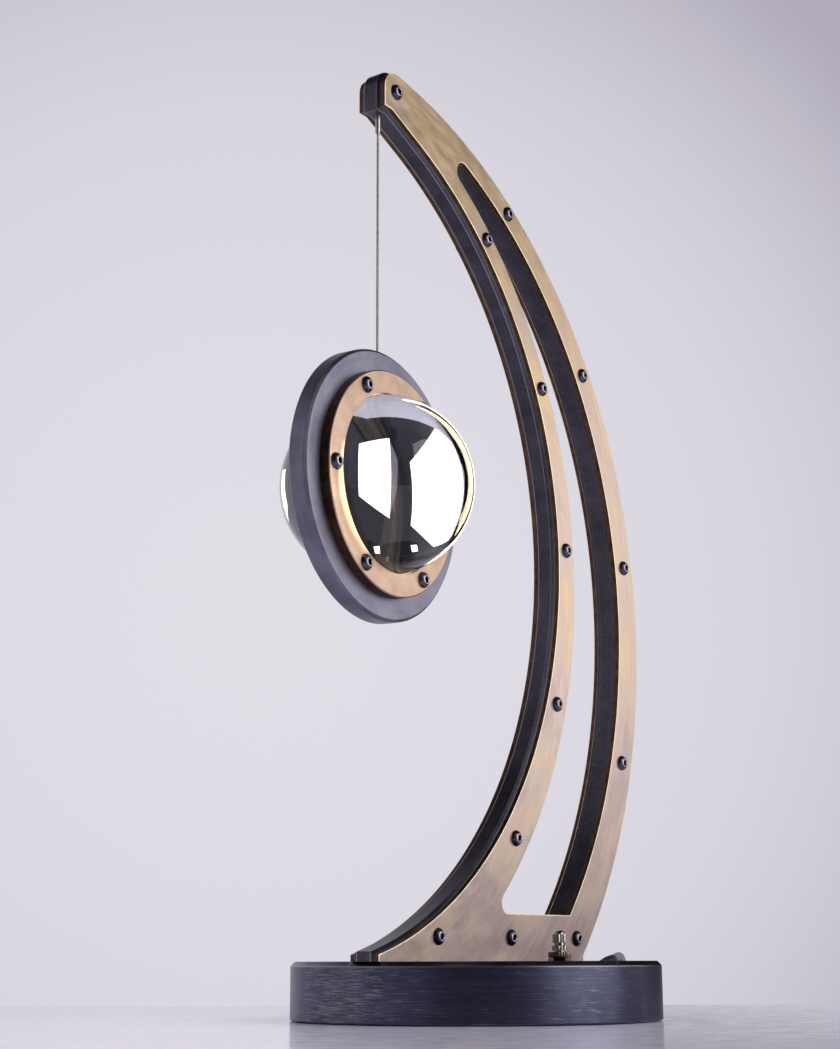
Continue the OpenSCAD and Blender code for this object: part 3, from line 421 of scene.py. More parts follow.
finish = {
    "blackened_steel": blackenedSteel(),
    "aged_brass": brushedBrass(),
    "arm_steel": armSteel(),
    "housing_steel": satinSteel(),
    "bronze_ring": turnedBronze(),
    "plain_steel": plainMetal("zincPlatedSteel", "#8f9093", "#b4b5b8", 0.35, 6),   # dull silver sheet
    "black_screw": plainMetal("blackOxideSteel", "#4f4e5b", "#62616f", 0.32, 6, 0.001),   # headed screws, blue-black
    "ferrule_metal": plainMetal("turnedNickelSilver", "#a3a09e", "#c2beba", 0.36),   # turned and polished
    "stainless": plainMetal("drawnStainlessWire", "#8a8988", "#c9c7c2", 0.28, 1.2),   # bright drawn wire
    "nickel_brass": plainMetal("turnedNickelPlate", "#87807a", "#b3aaa1", 0.18, 2.0, 0.002),   # warm old nickel
    "clear_glass": opticalGlass(),
    "reflector_mirror": silveredMirror(),
    "felt": pressedFelt(),
    "rubber": moulded("mouldedRubber", "#1b1b1d", "#2a2a2d", 0.6, 0.2),   # matt black, slightly waxy
    "white_plastic": moulded("mouldedPolycarbonate", "#d9d8d2", "#e9e8e3", 0.4, 0.15),   # off-white, even
    "black_plastic": moulded("mouldedNylon", "#18181b", "#26262a", 0.42, 0.12),   # black with a soft shine
    "lead_sheath": moulded("extrudedSilicone", "#1c1c1f", "#2c2c31", 0.45, 0.3),   # smooth dark sheath
    "led_strip": moulded("solderMaskStrip", "#e7e5dd", "#f4f2ea", 0.35, 0.2),   # white lacquered strip
    "braid": braidedCotton(),
}
glow = phosphor()
darkEdge = burntBrassEdge()
rubbedSteel = plainMetal("rubbedOxideSteel", "#8d8794", "#a59eaa", 0.28, 6, 0.001)   # where the key's turning wore it
paintedRimGlow = paintedGlowEdge()
agedNut = plainMetal("agedNutPlate", "#5b504b", "#81746a", 0.24, 1.5, 0.002)   # plate gone brown, duller than the knob
print("materials made")


# Mains cord: the points of its way over the rim and of its coil are those of the CAD part.
cord = {
    "thick": 5.0,
    "rim": 105.0,          # radius of the base
    "low": 2.6,            # height of the cord's middle on the table
    "drop": 32.45,         # from its highest point to the table
    "exit": (85.911, -39.933, 33.085),
    "turns": 8.35,
    "start": -40,          # bearing of the coil's first point, in degrees
    "innerRadius": 18.6,
    "pitch": 5.5,
    "layer": 5.5,          # height of the second layer
    "sides": 14,
}
cordFall = [(-14.6, -39.8, 0.982), (-10.2, -39.2, 1), (-7.2, -38.4, 0.986), (-4.1, -37.4, 0.94),
            (0, -35.8, 0.838), (3.5, -34.1, 0.696), (7, -32.3, 0.542), (10.5, -30.5, 0.388),
            (14.3, -28.4, 0.24), (19, -25.6, 0.123), (24.6, -22, 0.043), (31, -17.6, 0.006), (38, -12, 0),
            (45, -5.6, 0), (52, 2.3, 0), (58.5, 11, 0), (64.5, 19.6, 0), (69.6, 27.4, 0), (73, 32.7, 0),
            (75.9, 37.3, 0)]
cordTail = [(33, 1.8, 7.3), (23, 3.4, 5.7), (13, 5.2, 4.8), (4, 6.5, 5.1), (-4, 7, 6.1), (-10, 7, 6.8),
            (-16, 7, 6.8)]


def cordWay(c):
    way = [Vector(c["exit"])]
    way += [Vector((c["rim"] + x, y, c["low"] + share * c["drop"])) for x, y, share in cordFall]
    half = c["turns"] / 2
    outer = c["innerRadius"] + c["pitch"] * half
    bearing = math.radians(c["start"])
    centre = way[-1] - Vector((math.cos(bearing), math.sin(bearing), 0)) * outer
    steps = round(c["turns"] * 24)
    for i in range(3, steps - 2):
        t = c["turns"] * i / steps
        radius = c["innerRadius"] + c["pitch"] * abs(t - half)
        angle = bearing + 2 * math.pi * t
        rise = max(0, min(1, 2 * (t - half) + 0.5))
        way.append(Vector((centre.x + radius * math.cos(angle), centre.y + radius * math.sin(angle),
                           c["low"] + c["layer"] * rise * rise * (3 - 2 * rise))))
    angle = bearing + 2 * math.pi * c["turns"]
    end = Vector((centre.x + outer * math.cos(angle), centre.y + outer * math.sin(angle), c["low"] + c["layer"]))
    way += [end, end + Vector((-math.sin(angle), math.cos(angle), 0)) * c["thick"]]
    return way + [Vector((c["rim"] + x, c["rim"] + y, z)) for x, y, z in cordTail]


def eased(way, step):   # a smooth line through the points, with a point about every step mm
    out = []
    for i in range(len(way) - 1):
        a, b, c, d = way[max(i - 1, 0)], way[i], way[i + 1], way[min(i + 2, len(way) - 1)]
        count = max(1, round((c - b).length / step))
        for k in range(count):
            t = k / count
            out.append(0.5 * (2 * b + (c - a) * t + (2 * a - 5 * b + 4 * c - d) * t ** 2
                              + (3 * b - a - 3 * c + d) * t ** 3))
    return out + [way[-1]]


def tube(way, radius, sides):
    loops = []
    for i, here in enumerate(way):
        ahead = (way[min(i + 1, len(way) - 1)] - way[max(i - 1, 0)]).normalized()
        side = Vector((-ahead.y, ahead.x, 0)).normalized()
        up = ahead.cross(side)
        loops.append([tuple(here + radius * (math.cos(a) * side + math.sin(a) * up))
                      for a in (2 * math.pi * k / sides for k in range(sides))])
    return skin(loops)


def addWeave(piece, way, sides):   # UV in mm along the cord and turns round it
    along = [0.0]
    for a, b in zip(way, way[1:]):
        along.append(along[-1] + (b - a).length)
    layer = piece.data.uv_layers.new(name="weave")
    for face in piece.data.polygons:
        spots = [divmod(piece.data.loops[k].vertex_index, sides) for k in face.loop_indices]
        wraps = any(k == sides - 1 for _, k in spots) and len(spots) == 4
        for loop, (ring, k) in zip(face.loop_indices, spots):
            layer.data[loop].uv = (along[ring], 1.0 if wraps and k == 0 else k / sides)
    return along[-1]


def plugShape():   # a flat plug for two pins, drawn from the cord's end towards -X
    end = Vector(cordLine[-1])
    loops = []
    for x, wide, high, corner in ((0, 6.6, 6.6, 3.3), (0.4, 7.4, 7.4, 3.7), (4, 9.5, 8.2, 3.9), (9, 15, 9.8, 4.6),
                                  (14, 21.5, 11.4, 5.4), (17, 28, 12.6, 6.1), (20, 34.2, 13.4, 6.7),
                                  (23, 35.3, 13.6, 6.8), (34.6, 35.3, 13.6, 6.8), (35.6, 34.6, 12.9, 6.4),
                                  (36, 33.2, 11.6, 5.8)):
        loop = []
        for k in range(48):
            a = 2 * math.pi * (k + 0.5) / 48
            cx, cz = wide / 2 - corner, high / 2 - corner
            loop.append((end.x - x, end.y + math.copysign(cx, math.cos(a)) + corner * math.cos(a),
                         end.z + math.copysign(cz, math.sin(a)) + corner * math.sin(a)))
        loops.append(loop)
    return skin(loops)


cordLine = eased(cordWay(cord), 2.6)
mainsCord = addPiece("mainsCord", tube(cordLine, cord["thick"] / 2, cord["sides"]), finish["braid"], "root",
                     ["mains_cord", "cord_coil", "cord_tail"], sharp=60)
cordLength = addWeave(mainsCord, cordLine, cord["sides"])
plugBody = addPiece("plugBody", plugShape(), finish["black_plastic"], "root", ["plug_body"])
print("mains cord", round(cordLength), "mm")

# Wire rope: six strands laid round one
rope = {
    "x": -94.1,
    "low": 354.7,
    "top": 503.5,
    "strand": 0.52,     # diameter of a strand
    "lay": 8.5,         # length in which a strand goes once round
    "sides": 6,
}


def strandShape(r, start):
    steps = 150
    loops = []
    for i in range(steps + 1):
        z = r["low"] + (r["top"] - r["low"]) * i / steps
        a = start + 2 * math.pi * (z - r["low"]) / r["lay"]
        out = Vector((math.cos(a), math.sin(a), 0))
        round_ = Vector((-math.sin(a), math.cos(a), 0))
        ahead = (Vector((0, 0, 1)) + round_ * (2 * math.pi * r["strand"] / r["lay"])).normalized()
        side = ahead.cross(out)
        middle = Vector((r["x"], 0, z)) + out * 0.49
        loops.append([tuple(middle + r["strand"] / 2 * (math.cos(b) * out + math.sin(b) * side))
                      for b in (2 * math.pi * k / r["sides"] for k in range(r["sides"]))])
    return skin(loops)


core = moved(skin([hoop(0.26, z, 6) for z in (rope["low"], rope["top"])]), Matrix.Translation((rope["x"], 0, 0)))
strands = [strandShape(rope, 2 * math.pi * k / 6) for k in range(6)]
wireRope = addPiece("wireRope", join(strands + [core]), finish["stainless"], "rope", ["wire_rope"],
                    sharp=80)
print("wire rope made")

# Arm: a dark core between two brass plates, all cut to one outline. Drawn as x and height above the base's top.
arm = {
    "baseTop": 32.5,
    "outer": (-124.8, 206.2, 305.2),          # centre and radius of the outer edge
    "inner": (-165.2, 245.3, 249.4),
    "windowInner": (-170.6, 236.3, 272.6),
    "windowOuter": (-129.1, 213.6, 287.0),
    "head": 99.8,                              # distance of the head's end from the axis
    "headFlat": 7.0,                           # length of its flat lower edge
    "headLow": 485.8,
    "headCorner": 11.0,
    "sill": 26.8,
    "sillCorner": 6.0,
    "tip": 6.9,                                # radius of the window's upper end
    "toe": 103.9,
    "heel": 103.3,
    "coreHalf": 6.5,
    "plate": 3.0,
    "bevel": 1.9,
    "nose": 1.0,
}


def arc(centre, radius, start, end, steps):
    return [(centre[0] + radius * math.cos(start + (end - start) * i / steps),
             centre[1] + radius * math.sin(start + (end - start) * i / steps)) for i in range(steps + 1)]


def meet(a, ra, b, rb):   # the upper point where two circles cross
    gap = math.dist(a, b)
    on = (ra * ra - rb * rb + gap * gap) / (2 * gap)
    off = math.sqrt(ra * ra - on * on)
    ux, uz = (b[0] - a[0]) / gap, (b[1] - a[1]) / gap
    crossings = [(a[0] + on * ux - s * off * uz, a[1] + on * uz + s * off * ux) for s in (1, -1)]
    return max(crossings, key=lambda p: p[1])


def armOutline(m, grow, nose, back=0.0, floor=0.0):   # the outline grown along its free edges
    ox, oz, outer = m["outer"]
    ix, iz, inner = m["inner"]
    heel = m["heel"] - back
    corner = (-m["head"] + m["headCorner"],
              oz + math.sqrt((outer - m["headCorner"]) ** 2 - (-m["head"] + m["headCorner"] - ox) ** 2))
    cornerAngle = math.atan2(corner[1] - oz, corner[0] - ox)
    flatEnd = (-m["head"] + m["headFlat"], m["headLow"])
    run = (flatEnd[0] - ix, flatEnd[1] - iz)
    touch = math.atan2(run[1], run[0]) - math.acos(inner / math.hypot(*run))
    slope = math.pi / 2 - touch
    loop = [(heel, floor)]
    loop += arc((ox, oz), outer + grow, -math.acos((heel - ox) / (outer + grow)), cornerAngle, 170)
    loop += arc(corner, m["headCorner"] + grow, cornerAngle, math.pi, 14)[1:]
    loop += [(-m["head"] - grow, m["headLow"] - grow),
             (flatEnd[0] - grow * math.tan(slope / 2), m["headLow"] - grow)]
    toe = -m["toe"] - nose
    loop += arc((ix, iz), inner - grow, touch, -math.acos((toe - ix) / (inner - grow)), 160)
    return loop + [(toe, floor)]


def armWindow(m, grow):   # the window's outline, grown into the metal round it
    wx, wz, inner = m["windowInner"]
    vx, vz, outer = m["windowOuter"]
    tip = meet((wx, wz), inner + m["tip"], (vx, vz), outer - m["tip"])
    sillZ = m["sill"] + m["sillCorner"]
    sill = (wx + math.sqrt((inner + m["sillCorner"]) ** 2 - (sillZ - wz) ** 2), sillZ)
    outTip = math.atan2(tip[1] - vz, tip[0] - vx)
    inTip = math.atan2(tip[1] - wz, tip[0] - wx)
    inSill = math.atan2(sill[1] - wz, sill[0] - wx)
    low = -math.acos(math.sqrt(1 - ((vz - m["sill"] + grow) / (outer + grow)) ** 2))
    loop = arc((vx, vz), outer + grow, low, outTip, 150)
    loop += arc(tip, m["tip"] + grow, outTip, inTip + math.pi, 14)[1:]
    loop += arc((wx, wz), inner - grow, inTip, inSill, 140)[1:]
    loop += arc(sill, m["sillCorner"] + grow, inSill + math.pi, 1.5 * math.pi, 8)[1:]
    return loop


def armSlab(m, steps, windowWearAndHighlight):
    # Each step is y, growth of the free edges, growth at the toe, growth of the window, and how pale the edge is drawn:
    # wear mixed with a painted highlight.
    def lift(loop, y):
        return [(x, y, m["baseTop"] + z) for x, z in loop]

    outside = [lift(armOutline(m, g, n, max(0, -g), max(0, -g) * 0.4), y) for y, g, n, w, e in steps]
    window = [lift(armWindow(m, w), y) for y, g, n, w, e in steps]
    verts, faces = join([skin(outside, "open"), skin(window, "open")])
    count, hole = len(outside[0]), len(window[0])
    wearAndHighlight = [e for y, g, n, w, e in steps for _ in range(count)]
    wearAndHighlight += [e * windowWearAndHighlight for y, g, n, w, e in steps for _ in range(hole)]
    for end in (0, len(steps) - 1):
        loops = [outside[end], window[end]]
        flat = [[Vector((x, z, 0)) for x, y, z in loop] for loop in loops]
        first = [end * count, len(steps) * count + end * hole]
        for tri in tessellate_polygon(flat):
            faces.append(tuple(first[0] + i if i < count else first[1] + i - count for i in tri))
    return verts, faces, wearAndHighlight


def addArmPiece(name, steps, slot, stands, mirrored=False, windowWearAndHighlight=1.0):
    steps = [(-s[0] if mirrored else s[0],) + tuple(s[1:]) for s in steps]
    verts, faces, wearAndHighlight = armSlab(arm, steps, windowWearAndHighlight)
    piece = addPiece(name, (verts, faces), finish[slot], "root", stands, sharp=28)
    # The edge attribute carries wear and a painted highlight along the bevels.
    mark = piece.data.attributes.new("edge", "FLOAT", "POINT")
    for i, e in enumerate(wearAndHighlight):
        mark.data[i].value = e
    return piece


def secondFinish(piece, other, where):   # gives the faces that pass the test another finish
    piece.data.materials.append(other)
    for side in piece.data.polygons:
        if where(side.normal, side.center):
            side.material_index = 1


face = arm["coreHalf"] + arm["plate"]
# Plate edges: the last value of each step pales them, as wear and a painted highlight.
plateSteps = [(-arm["coreHalf"], -0.15, -0.15, 0.15, 0.8), (-arm["coreHalf"] - 0.15, 0, 0, 0, 0.8),
              (-arm["coreHalf"] - 0.4, 0, 0, 0, 0.0), (-face + 0.5, 0, 0, 0, 0.0), (-face + 0.25, 0, 0, 0, 0.8),
              (-face + 0.07, -0.07, -0.07, 0.07, 1.0), (-face, -0.25, -0.25, 0.25, 1.0),
              (-face, -0.6, -0.6, 0.6, 0.0)]
half, rise, nose = arm["coreHalf"], arm["bevel"], arm["nose"]
# Core edges: the last value is only a painted highlight, where the bevel meets the flat.
coreSide = [(half, -0.1, -0.1, 0.1, 0.0), (half - 0.1, 0.1, 0.1, 0, 0.1), (half - nose, nose, nose, 0, 0.0),
            (half - rise + 0.3, rise - 0.3, nose, 0, 0.0), (half - rise + 0.1, rise - 0.1, nose, 0, 0.9),
            (half - rise - 0.12, rise, nose, 0, 0.9), (half - rise - 0.5, rise, nose, 0, 0.0)]
coreSteps = [(-y, *rest) for y, *rest in coreSide] + list(reversed(coreSide))
armCore = addArmPiece("armCore", coreSteps, "arm_steel", ["arm_core"], windowWearAndHighlight=0.1)
frontPlate = addArmPiece("frontPlate", plateSteps, "aged_brass", ["front_plate"])
backPlate = addArmPiece("backPlate", plateSteps, "aged_brass", ["back_plate"], mirrored=True)
for plate in (frontPlate, backPlate):
    secondFinish(plate, darkEdge, lambda normal, centre: abs(normal.y) < 0.3)
print("arm made")

# Button head screws with hexagon sockets
screw = {
    "head": 9.4,
    "high": 2.8,
    "rim": 0.6,         # height of the head's straight rim
    "flat": 5.2,        # diameter of the flat round its socket
    "shank": 5.0,
    "socket": 3.3,      # across the flats
    "deep": 2.1,
    "fan": (-175, 251),
    "angles": (45.7, 23.2, 0.6, -20.9),
    "innerFoot": -41.5,
    "row": (-50.0, 22.8, 95.6),
    "rowHigh": 13.2,
}


def hexRadius(width):
    return lambda a: width / 2 / math.cos(a % (math.pi / 3) - math.pi / 6)


def screwShape(s, length):   # its seat is at the origin and it points down
    half, flat = s["head"] / 2, s["flat"] / 2
    middle = (half ** 2 + s["rim"] ** 2 - flat ** 2 - s["high"] ** 2) / (2 * (s["rim"] - s["high"]))
    ball = math.hypot(half, s["rim"] - middle)

    def dome(r):
        return middle + math.sqrt(ball * ball - r * r)

    profile = [(s["shank"] / 2 - 0.4, -length), (s["shank"] / 2, -length + 0.4), (s["shank"] / 2, 0),
               (half - 0.15, 0), (half, 0.15), (half, s["rim"] - 0.12), (half - 0.08, s["rim"] + 0.05)]
    profile += [(r, dome(r)) for r in (half - 0.35, half * 0.84, half * 0.76, half * 0.68, half * 0.61, flat)]
    loops = [hoop(r, z, 36) for r, z in profile]
    loops += [hoop(s["socket"] * 0.6, s["high"], 36), hoop(hexRadius(s["socket"]), s["high"] - 0.15, 36),
              hoop(hexRadius(s["socket"]), s["high"] - s["deep"], 36), hoop(0.3, s["high"] - s["deep"] - 0.3, 36)]
    return skin(loops)


def beyond(angle, circle):   # where a line from the fan's point crosses a circle
    fx, fz = screw["fan"]
    a = math.radians(angle)
    wx, wz = fx - circle[0], fz - circle[1]
    k = math.cos(a) * wx + math.sin(a) * wz
    far = -k + math.sqrt(k * k - wx * wx - wz * wz + circle[2] ** 2)
    return Vector((fx + far * math.cos(a), fz + far * math.sin(a)))


def plateScrewPlaces():
    spots = [Vector((-arm["head"] + 10.8, arm["headLow"] + 12))]
    for angle in screw["angles"]:
        spots.append((beyond(angle, arm["windowOuter"]) + beyond(angle, arm["outer"])) / 2)
        spots.append((beyond(angle, arm["inner"]) + beyond(angle, arm["windowInner"])) / 2)
    spots.append((beyond(screw["innerFoot"], arm["inner"]) + beyond(screw["innerFoot"], arm["windowInner"])) / 2)
    return spots + [Vector((x, screw["rowHigh"])) for x in screw["row"]]


def scattered(shape, spaces):   # copies of a screw, each turned as it happened to be tightened
    return join([moved(shape, space @ Matrix.Rotation(random.uniform(0, math.pi / 3), 4, "Z")) for space in spaces])


for side, name in ((-1, "front_plate_screws"), (1, "back_plate_screws")):
    tilt = Matrix.Rotation(math.radians(-90 * side), 4, "X")
    spaces = [Matrix.Translation((p.x, side * face, arm["baseTop"] + p.y)) @ tilt for p in plateScrewPlaces()]
    heads = addPiece("frontPlateScrews" if side < 0 else "backPlateScrews", scattered(screwShape(screw, 8), spaces),
                     finish["black_screw"], "root", [name])
    top = (face + screw["high"] - 0.1) * mm
    secondFinish(heads, rubbedSteel, lambda normal, centre: abs(normal.y) > 0.8 and abs(centre.y) > top)
print("plate screws made")

# Base
base = {
    "radius": 105.0,
    "high": 32.5,
    "chamfer": 2.5,
    "lift": 0.5,          # gap over the table
    "ceiling": 25.0,      # height of the hollow
    "pocket": 86.0,
    "coverSeat": 95.3,
    "padSeat": 101.3,
    "cordPlace": (84, -40),
    "cordBearing": 88,    # degrees from +Y towards +X
    "cordRise": 17,
    "sleeve": 7.7,
    "groove": 6.2,
}


def baseShape(b):
    corners = [(0, b["ceiling"]), (b["pocket"], b["ceiling"]), (b["pocket"], 3.5), (b["coverSeat"], 3.5),
               (b["coverSeat"], 1.5), (b["padSeat"], 1.5), (b["padSeat"], b["lift"]),
               (b["radius"] - 0.5, b["lift"]), (b["radius"], b["lift"] + 0.5),
               (b["radius"], b["high"] - b["chamfer"]), (b["radius"] - b["chamfer"], b["high"]), (0, b["high"])]
    return lathe(rounded(corners, 0.25), 240)


def cutHoles(piece, cutters):   # drills the piece with solids that aren't kept
    for shape in cutters:
        mesh = bpy.data.meshes.new("cutter")
        mesh.from_pydata([tuple(c * mm for c in v) for v in shape[0]], [], shape[1])
        build = bmesh.new()
        build.from_mesh(mesh)
        bmesh.ops.recalc_face_normals(build, faces=build.faces)
        build.to_mesh(mesh)
        build.free()
        cutter = bpy.data.objects.new("cutter", mesh)
        bpy.context.scene.collection.objects.link(cutter)
        cut = piece.modifiers.new("cut", "BOOLEAN")
        cut.object, cut.operation, cut.solver = cutter, "DIFFERENCE", "EXACT"
        bpy.context.view_layer.update()
        ready = bpy.data.meshes.new_from_object(piece.evaluated_get(bpy.context.evaluated_depsgraph_get()))
        piece.modifiers.clear()
        piece.data = ready
        bpy.data.objects.remove(cutter)
    piece.data.set_sharp_from_angle(angle=math.radians(30))
    piece.modifiers.new("flats", "WEIGHTED_NORMAL").keep_sharp = True


baseDisc = addPiece("baseDisc", baseShape(base), finish["blackened_steel"], "root",
                    ["base_disc"], sharp=30, flats=False)
alongCord = Matrix.Translation((*base["cordPlace"], base["high"])) \
    @ Matrix.Rotation(math.radians(-base["cordBearing"]), 4, "Z") \
    @ Matrix.Rotation(math.radians(base["cordRise"] - 90), 4, "X")
cutHoles(baseDisc, [moved(skin([hoop(base["sleeve"] / 2, z, 48) for z in (-38, 4)]), alongCord),
                    moved(skin([hoop(base["groove"] / 2, z, 48) for z in (0, 14)]), alongCord)])
print("base made")

# Dimmer: nuts and knob over the base
dimmer = {
    "y": -56.0,
    "hexNut": (11.0, 2.0),          # across the flats, thickness
    "nut": (12.7, 3.0, 30),         # diameter, thickness, flutes
    "bore": 6.7,
    "knobLow": 38.1,
    "knobRing": (8.4, 2.7),         # diameter and height of the lower ring
    "knobNeck": 6.0,
    "knob": (7.6, 4.2, 8.9, 11.0),   # diameter, start, end of the flutes and top of its domed end
    "flutes": 18,
}


def fluted(size, cut, flutes):   # radius of a knurled wheel of diameter size
    return lambda a: size / 2 - cut * (0.5 + 0.5 * math.cos(flutes * a)) ** 0.7


def hexNutShape(d):
    width, high = d["hexNut"]
    far = width / 2 / math.cos(math.pi / 6)
    full = hexRadius(width)

    def soft(limit):
        return lambda a: min(full(a), limit)

    low = d["bore"] / 2
    loops = [hoop(low, 0, 72), hoop(soft(far - 0.1), 0, 72), hoop(soft(far - 0.02), 0.1, 72),
             hoop(soft(far - 0.02), high - 0.45, 72), hoop(soft(width / 2 + 0.15), high - 0.08, 72),
             hoop(soft(width / 2 - 0.1), high, 72), hoop(low + 0.25, high, 72), hoop(low, high - 0.25, 72)]
    return skin(loops, "round")


def dressNutShape(d):
    size, high, flutes = d["nut"]
    low, n = d["bore"] / 2, flutes * 8
    steps = [(size - 0.9, 0, 0.0), (size - 0.35, 0.12, 0.12), (size, 0.4, 0.3), (size, high - 0.4, 0.3),
             (size - 0.35, high - 0.12, 0.12), (size - 0.9, high, 0.0)]
    loops = [hoop(low, 0, n)] + [hoop(fluted(s, cut, flutes), z, n) for s, z, cut in steps]
    loops += [hoop(size / 2 - 1.3, high, n), hoop(size / 2 - 1.5, high - 0.12, n), hoop(low + 0.3, high - 0.12, n),
              hoop(low, high - 0.4, n)]
    return skin(loops, "round")


def knobShape(d):
    wide, start, end, top = d["knob"]
    ringWide, ringHigh = d["knobRing"]
    flutes, neck = d["flutes"], d["knobNeck"]
    steps = [(5.0, 0, 0), (ringWide - 0.7, 0, 0.0), (ringWide - 0.2, 0.12, 0.15), (ringWide, 0.35, 0.3),
             (ringWide, ringHigh - 0.35, 0.3), (ringWide - 0.2, ringHigh - 0.12, 0.15),
             (ringWide - 0.7, ringHigh, 0.0), (neck + 0.3, ringHigh, 0.0), (neck, ringHigh + 0.15, 0.0),
             (neck, start - 0.12, 0.0), (neck + 0.2, start, 0.0), (wide - 0.6, start, 0.0),
             (wide - 0.15, start + 0.12, 0.15), (wide, start + 0.35, 0.3), (wide, end - 0.3, 0.3),
             (wide - 0.3, end - 0.08, 0.15), (wide - 0.9, end, 0.0), (wide - 1.1, end + 0.3, 0.0)]
    steps += [((wide - 1.3) * math.cos(math.radians(a)), end + 0.4 + (top - end - 0.4) * math.sin(math.radians(a)), 0.0)
              for a in (10, 25, 40, 55, 70, 85)]
    return skin([hoop(fluted(size, cut, flutes), z, flutes * 8) for size, z, cut in steps])


def atDimmer(z):
    return Matrix.Translation((0, dimmer["y"] * mm, z * mm))


addPiece("hexNut", hexNutShape(dimmer), agedNut, "root", ["hex_nut"],
         atDimmer(base["high"]))
addPiece("knurledNut", dressNutShape(dimmer), agedNut, "root", ["dress_nut"],
         atDimmer(base["high"] + dimmer["hexNut"][1]))
addPiece("dimmerKnob", knobShape(dimmer), finish["nickel_brass"], "knob", ["dimmer_knob"],
         atDimmer(dimmer["knobLow"]))
ferruleProfile = rounded([(0, 505.0), (0.9, 505.0), (1.55, 505.0), (1.55, 522.1), (0, 522.1)], 0.25)
addPiece("ferrule", lathe(ferruleProfile, 40), finish["ferrule_metal"], "root", ["ferrule"],
         Matrix.Translation((rope["x"] * mm, 0, 0)))
print("dimmer made")

# Pendant: its own Z is the way its front faces
pendant = {
    "place": (-94.1, 0, 291.6),
    "turn": 3.6,
    "radius": 77.0,
    "half": 6.0,
    "chamfer": 1.5,
    "bore": 51.4,
    "groove": (54.6, 4.0),       # radius and half width of the groove for the diodes
    "ring": (51.0, 64.0, 12.2),   # lip, outer radius and face
    "rebate": (54.5, 9.6),
    "ringScrews": 57.6,
    "screws": 6,
    "dome": (50.8, 4.7),          # radius of the sphere and where its centre stands
    "flange": (54.2, 6.3, 9.3),
    "mirror": 49.6,
    "diodes": 24,
}
atPendant = Matrix.Translation(Vector(pendant["place"]) * mm) \
    @ Matrix.Rotation(math.radians(pendant["turn"]), 4, "Z") @ Matrix.Rotation(math.radians(90), 4, "X")
turnRound = Matrix.Rotation(math.pi, 4, "X")


def housingShape(p):
    r, half, c = p["radius"], p["half"], p["chamfer"]
    bore, (groove, wide) = p["bore"], p["groove"]
    corners = [(bore, -half), (r - c, -half), (r, -half + c), (r, half - c), (r - c, half), (bore, half),
               (bore, wide), (groove, wide), (groove, -wide), (bore, -wide)]
    return lathe(rounded(corners, 0.2, closed=True), 240, "round")


def ringShape(p):
    lip, r, top = p["ring"]
    seat, depth = p["rebate"]
    corners = [(seat, p["half"]), (r, p["half"]), (r, top - 0.6), (r - 0.6, top), (lip, top), (lip, depth),
               (seat, depth)]
    return lathe(rounded(corners, 0.16, closed=True), 240, "round")


def domeShape(p):
    ball, out = p["dome"]
    wide, low, high = p["flange"]
    back = 1.2

    def onBall(z):
        return math.sqrt(ball * ball - (z - out) ** 2)

    profile = [(0, back), (onBall(back) - 0.4, back), (onBall(back), back + 0.3), (onBall(low), low - 0.1),
               (wide - 0.2, low), (wide, low + 0.2), (wide, high - 0.2), (wide - 0.2, high), (onBall(high), high)]
    start = math.asin((high - out) / ball)
    for i in range(1, 61):
        a = start + (math.pi / 2 - start) * i / 60
        profile.append((ball * math.cos(a), out + ball * math.sin(a)))
    return lathe(profile, 180)


def diodeRing(p):   # the strip, and small blocks with a slanted rim on it
    groove, wide = p["groove"]
    strip = lathe(rounded([(groove - 0.9, -3.5), (groove - 0.1, -3.5), (groove - 0.1, 3.5), (groove - 0.9, 3.5)],
                          0.08, 1, closed=True), 192, "round")
    blocks, gels = [], []
    for i in range(p["diodes"]):
        at = Matrix.Rotation(2 * math.pi * (i + 0.5) / p["diodes"], 4, "Z") \
            @ Matrix.Translation((groove - 0.85, 0, 0)) @ Matrix.Rotation(-math.pi / 2, 4, "Y")
        def block(size, z):
            return [(x * size[0] / 2, y * size[1] / 2, z) for x, y in ((-1, -1), (1, -1), (1, 1), (-1, 1))]
        blocks.append(moved(skin([block((2.8, 3.5), 0), block((2.8, 3.5), 1.0), block((2.6, 3.3), 1.15),
                                  block((2.2, 2.9), 1.15)]), at))
        gels.append(moved(skin([block((2.2, 2.9), 1.16), block((2.1, 2.8), 1.24)]), at))
    return strip, join(blocks), join(gels)


